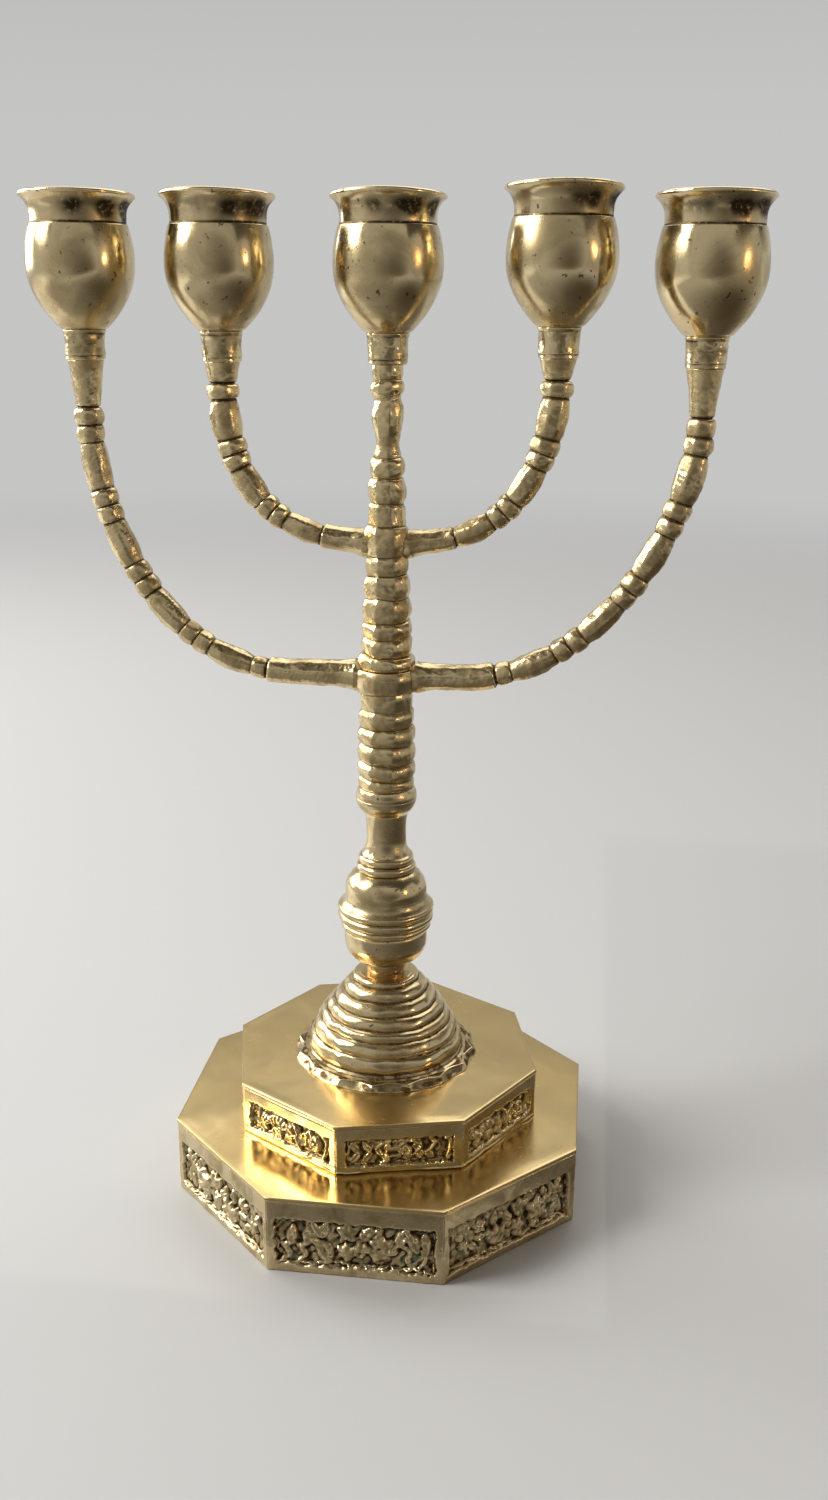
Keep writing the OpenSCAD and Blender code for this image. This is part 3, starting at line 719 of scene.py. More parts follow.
def cast_panel(name, width, z0, z1, stile, foot_rail, head_rail, pattern, mirrored, pitch, seed, rough,
               chunk, hollow, filling, ridge, seam, bed):
    """A mitred side panel whose face is a height map: rails, a sunk field and the relief in it.

    pitch is the step of the height map. rough is the depth of the lumps of a coarse casting. chunk
    widens the shapes and hollow dishes the leaves. filling is the undergrowth's count and lowest and
    highest tops, and bed the height of the ground between the shapes. ridge is the height of the
    ragged bead along the foot of the field, and seam that of the solder along the panel's foot.
    """
    half_out = width / 2 * math.tan(math.pi / SIDES)
    half_in = (width / 2 - PANEL_T) * math.tan(math.pi / SIDES)
    columns = int(2 * half_out / pitch) + 1
    rows = int((z1 - z0) / pitch) + 1
    x, z = np.meshgrid(np.linspace(-half_out, half_out, columns), np.linspace(z0, z1, rows))
    left, right = -half_out + stile, half_out - stile
    foot, head = z0 + foot_rail, z1 - head_rail
    field = Field(-x if mirrored else x, z, left, right, foot, head, chunk, hollow)
    pattern(field)
    field.undergrowth(seed + 20, *filling)
    spots = np.stack([x, np.full_like(x, seed * 7.0), z], axis=-1)
    inner = np.minimum(np.minimum(x - left, right - x), np.minimum(z - foot, head - z))
    inner = inner + 0.18 * waves(spots, 3.2, seed) + 0.07 * waves(spots, 1.1, seed + 3)
    sunk = 1 / (1 + np.exp(-np.clip(inner / 0.13, -30, 30)))
    raised = smooth_both(field.height, 0.16 / pitch)
    raised = np.maximum(raised, bed * (1 + 0.5 * waves(spots, 2.8, seed + 17)))
    raised = raised * (1 + (0.08 + rough) * waves(spots, 2.4, seed + 5))
    raised += rough * 0.5 * (1 + waves(spots, 1.6, seed + 6))
    bead = np.exp(-((z - foot - 0.75 - 0.3 * waves(spots, 7, seed + 13)) / 0.4) ** 2)
    raised = np.maximum(raised, ridge * bead * (1 + 0.3 * waves(spots, 2.5, seed + 14)))
    rim = np.exp(-((inner - 0.55) / 0.32) ** 2) * (0.55 + 0.25 * waves(spots, 2.2, seed + 8)) * 1.2
    raised = np.maximum(raised, rim)
    face = FIELD_DEPTH * (1 - sunk) + np.clip(raised, 0, FIELD_DEPTH + 0.4) * sunk
    spill = np.exp(-((z - foot + 0.25 - 0.25 * waves(spots, 5, seed + 9)) / 0.22) ** 2)
    face += spill * np.clip(0.16 * waves(spots, 2.6, seed + 10), 0, 0.35)
    solder = np.exp(-((z - z0 - 0.45 - 0.12 * waves(spots, 5, seed + 15)) / 0.28) ** 2)
    face += seam * solder * np.clip(0.4 + 0.6 * waves(spots, 14, seed + 16), 0, 1)
    face += 0.035 * waves(spots, 6, seed + 11) + rough * 0.12 * waves(spots, 0.9, seed + 12)
    border = np.minimum(np.minimum(x + half_out, half_out - x), np.minimum(z - z0, z1 - z))
    face -= 0.32 * np.exp(-border / 0.16)
    local = smooth_both(face, 0.75 / pitch)
    # The sunk field gets darker the deeper it lies, painted shade in the recess; hollows below the local
    # mean also get the dark groove colour.
    depth_shade = np.clip(1 - face / FIELD_DEPTH, 0, 1)
    relief = np.clip(0.52 + (face - local) / 1.1 - 0.22 * depth_shade, 0, 1)
    y = -width / 2 + FIELD_DEPTH - face
    front = np.stack([x, y, z], axis=-1).reshape(-1, 3)
    rim_loop = np.concatenate([np.arange(columns), np.arange(1, rows) * columns + columns - 1,
                               (rows - 1) * columns + np.arange(columns - 2, -1, -1),
                               np.arange(rows - 2, 0, -1) * columns])
    back = front[rim_loop].copy()
    back[:, 0] *= half_in / half_out
    back[:, 1] = PANEL_T - width / 2
    index = np.arange(rows * columns).reshape(rows, columns)
    quads = np.stack([index[:-1, :-1], index[:-1, 1:], index[1:, 1:], index[1:, :-1]], axis=-1)
    faces = quads.reshape(-1, 4).tolist()
    count, first = len(rim_loop), rows * columns
    for i in range(count):
        j = (i + 1) % count
        faces.append([int(rim_loop[j]), int(rim_loop[i]), first + i, first + j])
    faces.append(list(range(first + count - 1, first - 1, -1)))
    relief = np.concatenate([relief.reshape(-1), np.full(count, 0.45)])
    return outward(mesh_object(name, np.concatenate([front, back]), faces, relief))


def side_panels():
    lower_head, upper_foot = top_of("lower_panel_1"), foot_of("upper_panel_1")
    upper_head = top_of("upper_panel_1")
    for k in range(SIDES):
        turn = TAU * k / SIDES
        lower = cast_panel(f"lower_side_{k + 1}", LOWER_W, 0.0, lower_head, stile=2.4, foot_rail=2.6,
                           head_rail=5.6, pattern=tulip_branch if k % 2 else rose_branch,
                           mirrored=k in (4, 7), pitch=0.2, seed=30 + k, rough=0.06, chunk=1.5,
                           hollow=0.0, filling=(14, 0.5, 0.95), ridge=1.25, seam=0.0, bed=0.25)
        fitted(placed(lower, turn=turn), "base", "relief_brass", f"lower_panel_{k + 1}")
        upper = cast_panel(f"upper_side_{k + 1}", UPPER_W, upper_foot, upper_head, stile=3.0, foot_rail=2.3,
                           head_rail=3.9, pattern=fan_scroll if k % 2 else chevron_scroll,
                           mirrored=k in (4, 5), pitch=0.15, seed=60 + k, rough=0.04, chunk=1.5,
                           hollow=0.3, filling=(8, 0.4, 0.7), ridge=0.4, seam=0.4, bed=0.3)
        fitted(placed(upper, turn=turn + UPPER_TURN), "upper_tier", "panel_brass", f"upper_panel_{k + 1}")


side_panels()


# ---- Dome ---------------------------------------------------------------------

def dome():
    """A beehive of rounded ribs on a flange cut all round with eye-shaped scoops."""
    z0, z1 = ends_of("dome")
    skirt_r, skirt_t, scoops = 28.1, 1.9, 16
    foot_r, head_r, crown = 23.4, 8.4, 1.4
    land_r = foot_r + 1.3
    z_foot = z0 + skirt_t + 1.3
    share = np.array([0, 0.185, 0.36, 0.49, 0.63, 0.775, 0.915, 1.0])
    heights = z_foot + (z1 - z_foot) * share
    radii = foot_r - (foot_r - head_r) * share ** crown
    path = [(ROD_BORE, z0 + 0.6), (20, z0 + 0.6), (21, z0), (skirt_r - 0.2, z0), (skirt_r, z0 + 0.2),
            (skirt_r, z0 + skirt_t - 0.1), (skirt_r - 0.1, z0 + skirt_t), (land_r, z0 + skirt_t + 0.1),
            (foot_r + 0.4, z0 + skirt_t + 0.4), (foot_r - 0.2, z_foot)]
    for p, q in zip(zip(radii[:-1], heights[:-1]), zip(radii[1:], heights[1:])):
        p, q = np.array(p), np.array(q)
        d = q - p
        side = np.array([d[1], -d[0]]) / np.linalg.norm(d)
        for t in np.linspace(0.04, 0.96, 12):
            bulge = 0.8 * (1 - abs(2 * t - 1) ** 2.4)
            path.append(tuple(p + d * t + side * (bulge - 0.3)))
    path += [(head_r - 0.4, z1), (ROD_BORE, z1), (ROD_BORE, z0 + 0.6)]

    def form(angle, r, z):
        spots = spun(angle, r, z)
        across = 2 * np.mod(angle * scoops / TAU, 1) - 1
        bow = 1 - across ** 2
        up = np.clip((z - z0) / skirt_t, 0, 1)
        rim = skirt_r - 1.1 * up ** 1.5 - bow * (0.3 + 1.35 * up) - 0.25 * bow * np.sin(math.pi * up)
        on_flange = (z < z0 + skirt_t + 0.2) & (r > land_r)
        r = np.where(on_flange, land_r + (r - land_r) * (rim - land_r) / (skirt_r - land_r), r)
        outside = np.clip((r - 8) / 3, 0, 1)
        tilt = 0.16 * np.sin(angle - 0.7 + z * 0.35) + 0.07 * waves(spots, 9, 5)
        solid = np.clip((z - z_foot) / 2, 0, 1) * np.clip((z1 - z) / 2, 0, 1)
        return r + 0.09 * outside * waves(spots, 7, 6), z + tilt * solid

    def darkening(angle, r, z):
        spots = spun(angle, r, z)
        on_flange = (z < z0 + skirt_t + 0.2) & (r > land_r)
        # Dirt in random patches, and the whole scooped flange darkened as painted shade.
        return -0.12 * np.clip(waves(spots, 4, 8), 0, 1) - 0.22 * on_flange * (1 + 0.6 * waves(spots, 3, 9))

    return turned("beehive_dome", path, form, around=384, loop=True, reach=0.7, depth=0.6, darkening=darkening)


fitted(dome(), "base", "dome_brass", "dome")


# ---- Turned pieces of the stem ------------------------------------------------

def rib_line(z0, z1, radius, dip, power=3.0, samples=9):
    """A rib between two heights: a rounded band with a groove of depth dip at each end."""
    return [(radius - dip * abs(2 * t - 1) ** power, z0 + (z1 - z0) * t) for t in np.linspace(0, 1, samples)]


def arc_line(p, q, out, samples=8):
    """A bowed line from p to q, swelling by out on its right."""
    p, q = np.array(p, float), np.array(q, float)
    d = q - p
    side = np.array([d[1], -d[0]]) / np.linalg.norm(d)
    return [tuple(p + d * t + side * out * 4 * t * (1 - t)) for t in np.linspace(0, 1, samples)]


def hand_made(seed, radial=0.05):
    """The small errors of a piece finished by hand."""
    def form(angle, r, z):
        spots = spun(angle, r, z)
        outside = np.clip((r - ROD_BORE - 0.5) / 2, 0, 1)
        return r + radial * outside * waves(spots, 9, seed), z
    return form


def spacer():
    """The short collar between the dome and the knop."""
    z0, z1 = ends_of("spacer_collar")
    outline = [(5.7, z0)] + rib_line(z0 + 0.1, z1 - 0.1, 5.9, 0.35) + [(5.7, z1)]
    return turned("spacer", bored(outline, z0, z1), hand_made(3), around=96, step=0.2, loop=True)


def knop_cup():
    """The rounded lower half of the knop."""
    z0, z1 = ends_of("knop_cup")
    foot_r, side_r = 6.7, 12.4
    round_h = (z1 - z0) * 0.66
    bowl = [(foot_r + (side_r - foot_r) * math.sin(w), z0 + round_h * (1 - math.cos(w)))
            for w in np.radians(np.arange(0, 91, 10))]
    outline = bowl + [(side_r + 0.1, z1 - 0.5), (side_r - 0.2, z1)]
    return turned("knop_bowl", bored(outline, z0, z1), hand_made(4), step=0.25, loop=True)


def knop_bell():
    """Three thin rims, a concave flare, a bell, a two-step ring and a neck."""
    z0, z1 = ends_of("knop_bell")
    girdle_r = 14.4
    outline = [(girdle_r - 1.8, z0)]
    outline += rib_line(z0 + 0.1, z0 + 2.5, girdle_r - 0.9, 0.7, 2.4)
    outline += rib_line(z0 + 2.6, z0 + 5.5, girdle_r - 0.15, 0.85, 2.4, 13)
    outline += rib_line(z0 + 5.6, z0 + 8.0, girdle_r, 0.8, 2.4, 11)
    outline += arc_line((girdle_r - 0.9, z0 + 8.1), (12.15, z0 + 10.8), -0.35)
    outline += arc_line((12.1, z0 + 11.0), (8.85, z0 + 18.3), 1.2, 14)
    outline += rib_line(z0 + 18.5, z0 + 21.0, 8.85, 0.7, 2.6)
    outline += rib_line(z0 + 21.1, z0 + 23.6, 8.25, 0.7, 2.6)
    outline += [(7.2, z0 + 23.8)] + arc_line((7.1, z0 + 24.0), (5.85, z0 + 29), -0.4)
    outline += arc_line((5.85, z0 + 29.2), (6.3, z1), -0.2)
    return turned("knop_bell_turned", bored(outline, z0, z1), hand_made(5, 0.06), loop=True, depth=0.7)


def stem_bead():
    """The bead under the lower arms' casting."""
    z0, z1 = ends_of("stem_bead")
    belly = (8.8, z0 + (z1 - z0) * 0.6)
    outline = arc_line((6.4, z0), belly, 0.6) + arc_line(belly, (8.2, z1), 0.25)
    return turned("bead_under_arms", bored(outline, z0, z1), hand_made(6, 0.08), around=160, loop=True)


fitted(spacer(), "base", "thread_brass", "spacer_collar")
for make, cad_node in ((knop_cup, "knop_cup"), (knop_bell, "knop_bell"), (stem_bead, "stem_bead")):
    fitted(make(), "base", "turned_brass", cad_node)


# ---- Branches -----------------------------------------------------------------

OLIVE, RING = "olive", "ring"
OUTER_BEAD = {OLIVE: (13.2, 3.45, 4.25), RING: (4.7, 3.3, 4.15)}
INNER_BEAD = {OLIVE: (11.1, 3.45, 4.6), RING: (4.0, 3.35, 4.75)}
LOWER_BEADS = [RING] + 4 * [OLIVE, RING, RING]
UPPER_BEADS = 2 * [OLIVE, RING, RING] + [OLIVE, RING]


def arm_line(start, reach, z, z_end, z_tip, a, b):
    """The middle line of an arm: level out of the stem, a curve with handles a and b, an upright tip.

    Gives its points, how far along each is, and how far along the curve starts and ends.
    """
    t = np.linspace(0, 1, 600)[:, None]
    p, q = np.array([start, z]), np.array([reach, z_end])
    bend = ((1 - t) ** 3 * p + 3 * (1 - t) ** 2 * t * (p + [a, 0])
            + 3 * (1 - t) * t * t * (q - [0, b]) + t ** 3 * q)
    level = np.stack([np.linspace(5.0, start, 100, endpoint=False), np.full(100, z)], axis=1)
    tip = np.stack([np.full(80, reach), np.linspace(z_end, z_tip, 81)[1:]], axis=1)
    line = np.concatenate([level, bend, tip])
    far = np.concatenate([[0], np.cumsum(np.linalg.norm(np.diff(line, axis=0), axis=1))])
    return line, far, far[100], far[699]


def arm(name, mirrored, start, reach, z, z_end, z_tip, a, b, tube_r, bead, beads, foot_r, tip_r,
        hub_r, flare, sag, seed):
    """A beaded arm, hand-filed to soft flats, with a hole for the cup's stud in its tip.

    It leaves a hub of radius hub_r with a flare that sags by sag, and ends in a cone. A bead is
    its length and its full radius next to the tube and next to the cone.
    """
    rng = np.random.default_rng(seed)
    around, spacing = 64, 0.17
    line, far, bend_from, bend_to = arm_line(start, reach, z, z_end, z_tip, a, b)
    s = np.linspace(0, far[-1], int(far[-1] / spacing))
    middle = np.stack([np.interp(s, far, line[:, 0]), np.interp(s, far, line[:, 1])], axis=1)
    root = np.exp(-np.clip(s + line[0, 0] - hub_r, 0, None) / 2.4)
    middle[:, 1] -= sag * root
    ahead = smooth_along(np.gradient(middle, axis=0), 3, 0, False)
    ahead /= np.linalg.norm(ahead, axis=1, keepdims=True)
    angle = np.arange(around) * TAU / around
    grid_s, grid_a = np.meshgrid(s, angle, indexing="ij")
    radius = np.full_like(grid_s, tube_r) * flats(grid_a, 8, 0.2, 0.7)
    streaks = np.stack([tube_r * np.cos(grid_a), tube_r * np.sin(grid_a), grid_s * 0.15], axis=-1)
    radius += 0.07 * waves(streaks, 3.5, seed + 2) + flare * root[:, None]
    at = bend_to - sum(bead[kind][0] for kind in beads)
    radius -= 0.7 * np.exp(-((grid_s - at) / 0.35) ** 2)
    for number, kind in enumerate(beads):
        length, first, last = bead[kind]
        full = first + (last - first) * number / (len(beads) - 1)
        groove_r = 0.76 * full
        inside = (s >= at) & (s < at + length)
        t = (grid_s[inside] - at) / length
        full *= 1 + rng.uniform(-0.04, 0.04)
        if kind == OLIVE:
            hump = np.clip(1 - np.abs(2 * t - 1) ** 2.4, 0, 1) ** 0.85
            cut = flats(grid_a[inside] + 0.1 * (t - 0.5), 8, rng.uniform(0, 0.6), 0.7)
        else:
            lean = t + 0.05 * np.sin(grid_a[inside] + rng.uniform(0, TAU)) * np.sin(math.pi * t)
            hump = np.clip(1 - np.abs(2 * lean - 1) ** 2.4, 0, 1) ** 0.6
            cut = flats(grid_a[inside], 7, rng.uniform(0, 0.8), 0.6)
        radius[inside] = groove_r + (full * cut - groove_r) * hump
        at += length
    on_tip = grid_s > bend_to
    t = np.clip((grid_s - bend_to) / (far[-1] - bend_to), 0, 1)
    cone = foot_r + (tip_r - foot_r) * t ** 1.3
    flute = 1 - 0.05 * np.abs(np.cos(grid_a * 4)) * np.clip(1.2 - t * 1.4, 0, 1)
    groove = 0.75 * np.exp(-((grid_s - bend_to) / 0.5) ** 2)
    radius = np.where(on_tip, cone * flute - groove, radius)
    radius = smooth_along(radius, 0.9, 1, True)
    across = np.stack([-ahead[:, 1], ahead[:, 0]], axis=1)

    def around_middle(radius):
        return np.stack([middle[:, :1] + across[:, :1] * radius * np.cos(angle), radius * np.sin(angle),
                         middle[:, 1:] + across[:, 1:] * radius * np.cos(angle)], axis=-1)

    spots = around_middle(radius)
    calm = np.clip((far[-1] - grid_s) / 4, 0, 1)
    radius += calm * (0.06 * waves(spots, 4.5, seed) + 0.02 * waves(spots, 1.5, seed + 1))
    points = around_middle(radius)
    relief = np.clip(0.5 + (radius - smooth_along(radius, 0.9 / spacing, 0, False)) / 0.75, 0, 1)
    hole = []
    for r, z_at in ((STUD_BORE, z_tip), (STUD_BORE, z_tip - STUD_HOLE), (0.0, z_tip - STUD_HOLE)):
        ring = [reach - r * np.cos(angle), r * np.sin(angle), np.full(around, z_at)]
        hole.append(np.stack(ring, axis=-1))
    start_pole = np.broadcast_to([middle[0, 0], 0, middle[0, 1]], (1, around, 3))
    points = np.concatenate([start_pole, points, np.array(hole)])
    relief = np.concatenate([np.full((1, around), 0.4), relief, np.full((3, around), 0.3)])
    if mirrored:
        points = points * [-1, 1, 1]
    return outward(skin(name, points, relief))


def stem_form(seed, phases, z0, z1):
    """The hand-filed flats, leaning grooves and lumps of a cast stem."""
    def form(angle, r, z):
        spots = spun(angle, r, z)
        outside = np.clip((r - 2.7) / 1.0, 0, 1) * np.clip((z1 - z) / 3, 0, 1)
        outside = outside * np.clip((z - z0) / 1.5, 0, 1)
        phase = np.interp(z, *phases)
        filed = flats(angle, 8, phase, 0.45)
        lean = 0.3 * np.sin(angle + z * 0.13 + seed) + 0.16 * waves(spots, 11, seed + 1)
        lumps = 0.1 * waves(spots, 7, seed + 2) + 0.03 * waves(spots, 2.4, seed + 3)
        return r * (1 + (filed - 1) * outside) + lumps * outside, z + lean * outside
    return form


def stem_path(z, ribs):
    """The outline of a cast stem from its ribs, each as (height, radius, groove depth)."""
    path = []
    for height, radius, dip in ribs:
        path += rib_line(z + 0.05, z + height - 0.05, radius, dip, 2.6, 15)
        z += height
    return path


def lower_branch():
    """The lower piece of the stem with its hub and the two outer arms."""
    z0, z1 = foot_of("lower_branch"), foot_of("upper_branch")
    ribs = [(3, 8.3, 0.5), (5, 8.65, 0.95), (5.7, 8.6, 0.95), (4.9, 8.5, 0.95), (5.4, 8.3, 0.9),
            (5, 7.75, 0.35), (6.7, 9.1, 0.8)]
    path = bored(stem_path(z0, ribs), z0, z1)
    stem = turned("lower_arms_casting", path, stem_form(7, ([z0, z1], [0.25, 0.55]), z0, z1), around=144,
                  loop=True, reach=0.8, depth=0.8)
    z_tip = TIP_Z["outer_left"]
    shared = dict(z=z1 - 2.2, z_end=z_tip - 12.7, z_tip=z_tip, tube_r=3.8, bead=OUTER_BEAD,
                  beads=LOWER_BEADS, foot_r=3.45, tip_r=4.9, hub_r=9.1, flare=0.9, sag=0.3)
    left = arm("arm_a", True, 28, -CUP_X["outer_left"], a=37, b=32, seed=81, **shared)
    right = arm("arm_b", False, 20, CUP_X["outer_right"], a=41, b=26, seed=82, **shared)
    seat = turned("seat_cut", [(0, z1), (8.9, z1), (8.9, z1 + 7), (0, z1 + 7)], around=96, step=1.0)
    return joined(stem, [left, right], seat)


def upper_branch():
    """The upper piece of the stem with its hub, the two inner arms and the tip under the centre cup."""
    z0 = foot_of("upper_branch")
    z_tip = TIP_Z["centre"]
    rod_top = top_of("tie_rod") + 0.4
    ribs = [(4, 8.3, 0.8), (5.3, 7.5, 0.75), (4.3, 7.3, 0.75), (6.6, 7.0, 0.8), (6.5, 6.8, 0.75),
            (5.3, 6.4, 0.7)]
    path = [(0.0, rod_top), (ROD_BORE, rod_top), (ROD_BORE, z0)] + stem_path(z0, ribs)
    z = z0 + sum(rib[0] for rib in ribs)
    path += rib_line(z + 0.05, z + 8.3, 6.8, 1.0, 2.2, 17)
    path += [(5.2, z + 8.5), (5.3, z + 9.1), (5.1, z + 13.8), (4.7, z + 14.4)]
    path += stem_path(z + 14.5, [(7.0, 5.3, 0.7), (5.5, 4.85, 0.75)])
    z += 27.0
    path += [(3.6, z + 0.2), (3.65, z + 1.0), (3.3, z + 2.2), (3.1, z + 3.4)]
    path += [(3.1 + 0.4 * t + 1.15 * math.sin(math.pi * t ** 1.45) ** 0.9, z + 3.6 + 12.0 * t)
             for t in np.linspace(0.03, 0.97, 18)]
    path += [(3.7, z + 15.9)] + rib_line(z + 16.1, z + 20.2, 4.65, 0.85, 2.4, 11)
    path += [(3.9, z + 20.4), (4.2, z + 21.0), (4.25, z_tip), (STUD_BORE, z_tip)]
    path += [(STUD_BORE, z_tip - STUD_HOLE), (0.0, z_tip - STUD_HOLE)]
    phases = ([z0, z0 + 30, z0 + 60, z_tip], [0.3, 0.5, 0.15, 0.4])
    stem = turned("upper_arms_casting", path, stem_form(9, phases, z0, z_tip), around=144, depth=0.8)
    arms = []
    for name, mirrored, cup, a, b, seed in (("arm_c", True, "inner_left", 25, 26, 83),
                                            ("arm_d", False, "inner_right", 32, 12, 84)):
        tip = TIP_Z[cup]
        arms.append(arm(name, mirrored, 8, abs(CUP_X[cup]), z0 + 36.2, tip - 5.7, tip, a, b, tube_r=3.3,
                        bead=INNER_BEAD, beads=UPPER_BEADS, foot_r=3.9, tip_r=4.9, hub_r=6.5, flare=0.8,
                        sag=0.75, seed=seed))
    return joined(stem, arms)


fitted(lower_branch(), "lower_arms", "branch_brass", "lower_branch")
fitted(upper_branch(), "upper_arms", "branch_brass", "upper_branch")


# ---- Cups ---------------------------------------------------------------------

def cup_bowl(cup, seed):
    """A candle cup: tapering bulb, scribed neck, flared lip, and the socket inside."""
    height = top_of(f"cup_bowl_{cup}") - foot_of(f"cup_bowl_{cup}")
    bulb_r, lip_r, neck_r, foot_r = 14.6, 15.35, 12.8, 6.2
    neck_h, mouth_h, socket_l, pit_l = 7.8, 3.5, 17.5, 11.5
    belly, neck, floor = height / 2, height - neck_h, height - (mouth_h + socket_l)
    path = [(0.0, 0.0), (foot_r - 0.2, 0.0), (foot_r, 0.2)]
    path += [(bulb_r - (bulb_r - foot_r) * t ** 2.1, belly * (1 - t))
             for t in np.linspace(0.98, 0, 30)]
    path += [(bulb_r - (bulb_r - neck_r - 0.35) * t * t, belly + (neck - belly) * t)
             for t in np.linspace(0.05, 1, 18)]
    path += [(neck_r + 0.05, neck + 0.1), (neck_r - 0.04, neck + 0.4), (neck_r, neck + 0.75)]
    path += [(neck_r + (lip_r - neck_r) * t ** 3.4, neck + 0.75 + (height - neck - 1.7) * t)
             for t in np.linspace(0.08, 1, 14)]
    path += [(lip_r + 0.05, height - 0.7), (lip_r - 0.05, height - 0.35), (lip_r - 0.35, height - 0.08),
             (lip_r - 0.7, height), (lip_r - 1.0, height - 0.1), (lip_r - 1.25, height - 0.5)]
    path += arc_line((13.2, height - 1.4), (11.25, height - 4.2), 0.3)
    path += [(11.2, height - 4.6), (11.2, floor + 0.3), (10.7, floor - 5), (9.1, floor - 8.5),
             (6.1, floor - pit_l + 0.2), (0.0, floor - pit_l)]

    def form(angle, r, z):
        spots = spun(angle, r, z + seed * 50)
        outside = np.clip((r - 4) / 3, 0, 1)
        lean = 0.05 * r * np.sin(angle + seed * 1.3) * np.clip((z - neck) / (height - neck), 0, 1)
        lean += 0.12 * np.sin(2 * angle + seed) * np.clip((z - height + 2) / 2, 0, 1)
        r = r * (1 + 0.0035 * np.sin(2 * angle + seed) * outside) + 0.03 * outside * waves(spots, 11, seed)
        return r, z - lean

    def darkening(angle, r, z):
        runs = spun(angle, r, z * 0.4 + seed * 70)
        # Patchy tarnish on the neck, weighted onto the right side of every cup as painted shade; the colour
        # is also darker towards the foot and inside the socket.
        on_neck = np.clip((z - neck + 2.0) / 5.0, 0, 1) * np.clip((height - 0.9 - z) / 2.5, 0, 1)
        # right weights the darkening onto the right side of every cup: painted shade on that side.
        right = 0.6 + 0.4 * np.sin(angle + seed * 1.3 + 1.0)
        under = np.clip((3 - z) / 3, 0, 1)
        inner = (r < 11.3) & (z > floor - 1) & (z < height - 3)
        patches = np.clip(0.8 + 0.45 * waves(runs, 8, seed + 2), 0, 1.4)
        return -(0.36 * on_neck * right + 0.16 * under) * patches - 0.2 * inner

    bowl = turned(f"bowl_{cup}", path, form, around=200, step=0.25, reach=0.6, depth=0.4, darkening=darkening)
    return placed(bowl, CUP_X[cup], foot_of(f"cup_bowl_{cup}"), seed * 1.3)


def cup_collar(cup, seed):
    """The collar under a cup, with a small step where it meets the arm."""
    height = top_of(f"cup_collar_{cup}") - foot_of(f"cup_collar_{cup}")
    path = [(STUD_BORE, 0.0), (4.9, 0.0), (5.3, 0.3), (5.25, 1.2), (5.37, 1.5), (5.33, height * 0.55),
            (5.55, height * 0.85), (5.9, height - 0.4), (5.6, height), (STUD_BORE, height),
            (STUD_BORE, 0.0)]

    def form(angle, r, z):
        spots = spun(angle, r, z + seed * 30)
        outside = np.clip(r - 3, 0, 1)
        return r + outside * (0.06 * waves(spots, 5, seed) + 0.02 * waves(spots, 1.4, seed + 1)), z

    def darkening(angle, r, z):
        spots = spun(angle, r, z + seed * 30)
        return -0.1 * np.clip(0.5 + waves(spots, 4, seed + 3), 0, 1.5) - 0.15 * (z < 0.5)

    ring = turned(f"collar_{cup}", path, form, around=96, step=0.15, loop=True, reach=0.5, depth=0.4,
                  darkening=darkening)
    return placed(ring, CUP_X[cup], foot_of(f"cup_collar_{cup}"), seed)


def threaded(name, radius, z0, z1, pitch, depth, plain_from=None):
    """A threaded rod along Z: a helical ridge between chamfered ends."""
    around = 48
    rows = int((z1 - z0) / (pitch / 8))
    angle = np.arange(around) * TAU / around
    z, a = np.meshgrid(np.linspace(z0, z1, rows), angle, indexing="ij")
    turn = np.mod(z / pitch - a / TAU, 1.0)
    ridge = np.clip(1.35 - 2.7 * np.abs(turn - 0.5), 0, 1)
    if plain_from is not None:
        ridge = np.where(z > plain_from, 1.0, ridge)
    chamfer = np.clip(np.minimum(z - z0, z1 - z) / 0.5, 0, 1)
    r = (radius - depth * (1 - ridge)) * (0.8 + 0.2 * chamfer)
    rings = spun(a, r, z)
    poles = [np.broadcast_to([0, 0, z0], (1, around, 3)), np.broadcast_to([0, 0, z1], (1, around, 3))]
    relief = np.concatenate([np.full((1, around), 0.5), 0.3 + 0.4 * ridge, np.full((1, around), 0.5)])
    return outward(skin(name, np.concatenate([poles[0], rings, poles[1]]), relief))


for number, cup in enumerate(CUPS):
    fitted(cup_bowl(cup, number + 1), f"cup_{cup}", "cup_brass", f"cup_bowl_{cup}")
    fitted(cup_collar(cup, number + 1), f"cup_{cup}", "cup_brass", f"cup_collar_{cup}")
    stud = threaded(f"stud_thread_{cup}", 2.5, *ends_of(f"cup_stud_{cup}"), pitch=1.0, depth=0.45)
    fitted(placed(stud, CUP_X[cup]), f"stud_{cup}", "thread_brass", f"cup_stud_{cup}")


# ---- Fastenings under the base --------------------------------------------------

def washer():
    """The washer under the lower plate."""
    z0, z1 = ends_of("rod_washer")
    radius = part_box("rod_washer")[1].x / MM
    path = rounded(bored([(radius, z0), (radius, z1)], z0, z1), 0.3)
    return turned("washer", path, hand_made(12, 0.02), around=128, loop=True)


def nut():
    """The hexagon nut on the tie rod."""
    z0, z1 = ends_of("rod_nut")
    across_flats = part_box("rod_nut")[1].y * 2 / MM
    corner = across_flats / 2 / math.cos(math.pi / 6)
    path = rounded([(ROD_BORE, z0 + 0.5), (ROD_BORE + 0.6, z0), (corner, z0), (corner, z1),
                    (ROD_BORE + 0.6, z1), (ROD_BORE, z1 - 0.5), (ROD_BORE, z0 + 0.5)], 0.1)

    def form(angle, r, z):
        bevel = across_flats / 2 + 0.1 + np.minimum(z - z0, z1 - z) * 1.9
        return np.where(r > 4.2, np.minimum(r * flats(angle, 6), bevel), r), z

    return turned("nut", path, form, around=192, step=0.15, loop=True, depth=0.9)


fitted(threaded("tie_rod_thread", 3.0, *ends_of("tie_rod"), pitch=1.0, depth=0.4,
                plain_from=top_of("lower_plinth_top") + 3), "base", "steel", "tie_rod")
fitted(washer(), "base", "steel", "rod_washer")
fitted(nut(), "base", "steel", "rod_nut")


# ---- Floor, light and camera ----------------------------------------------------

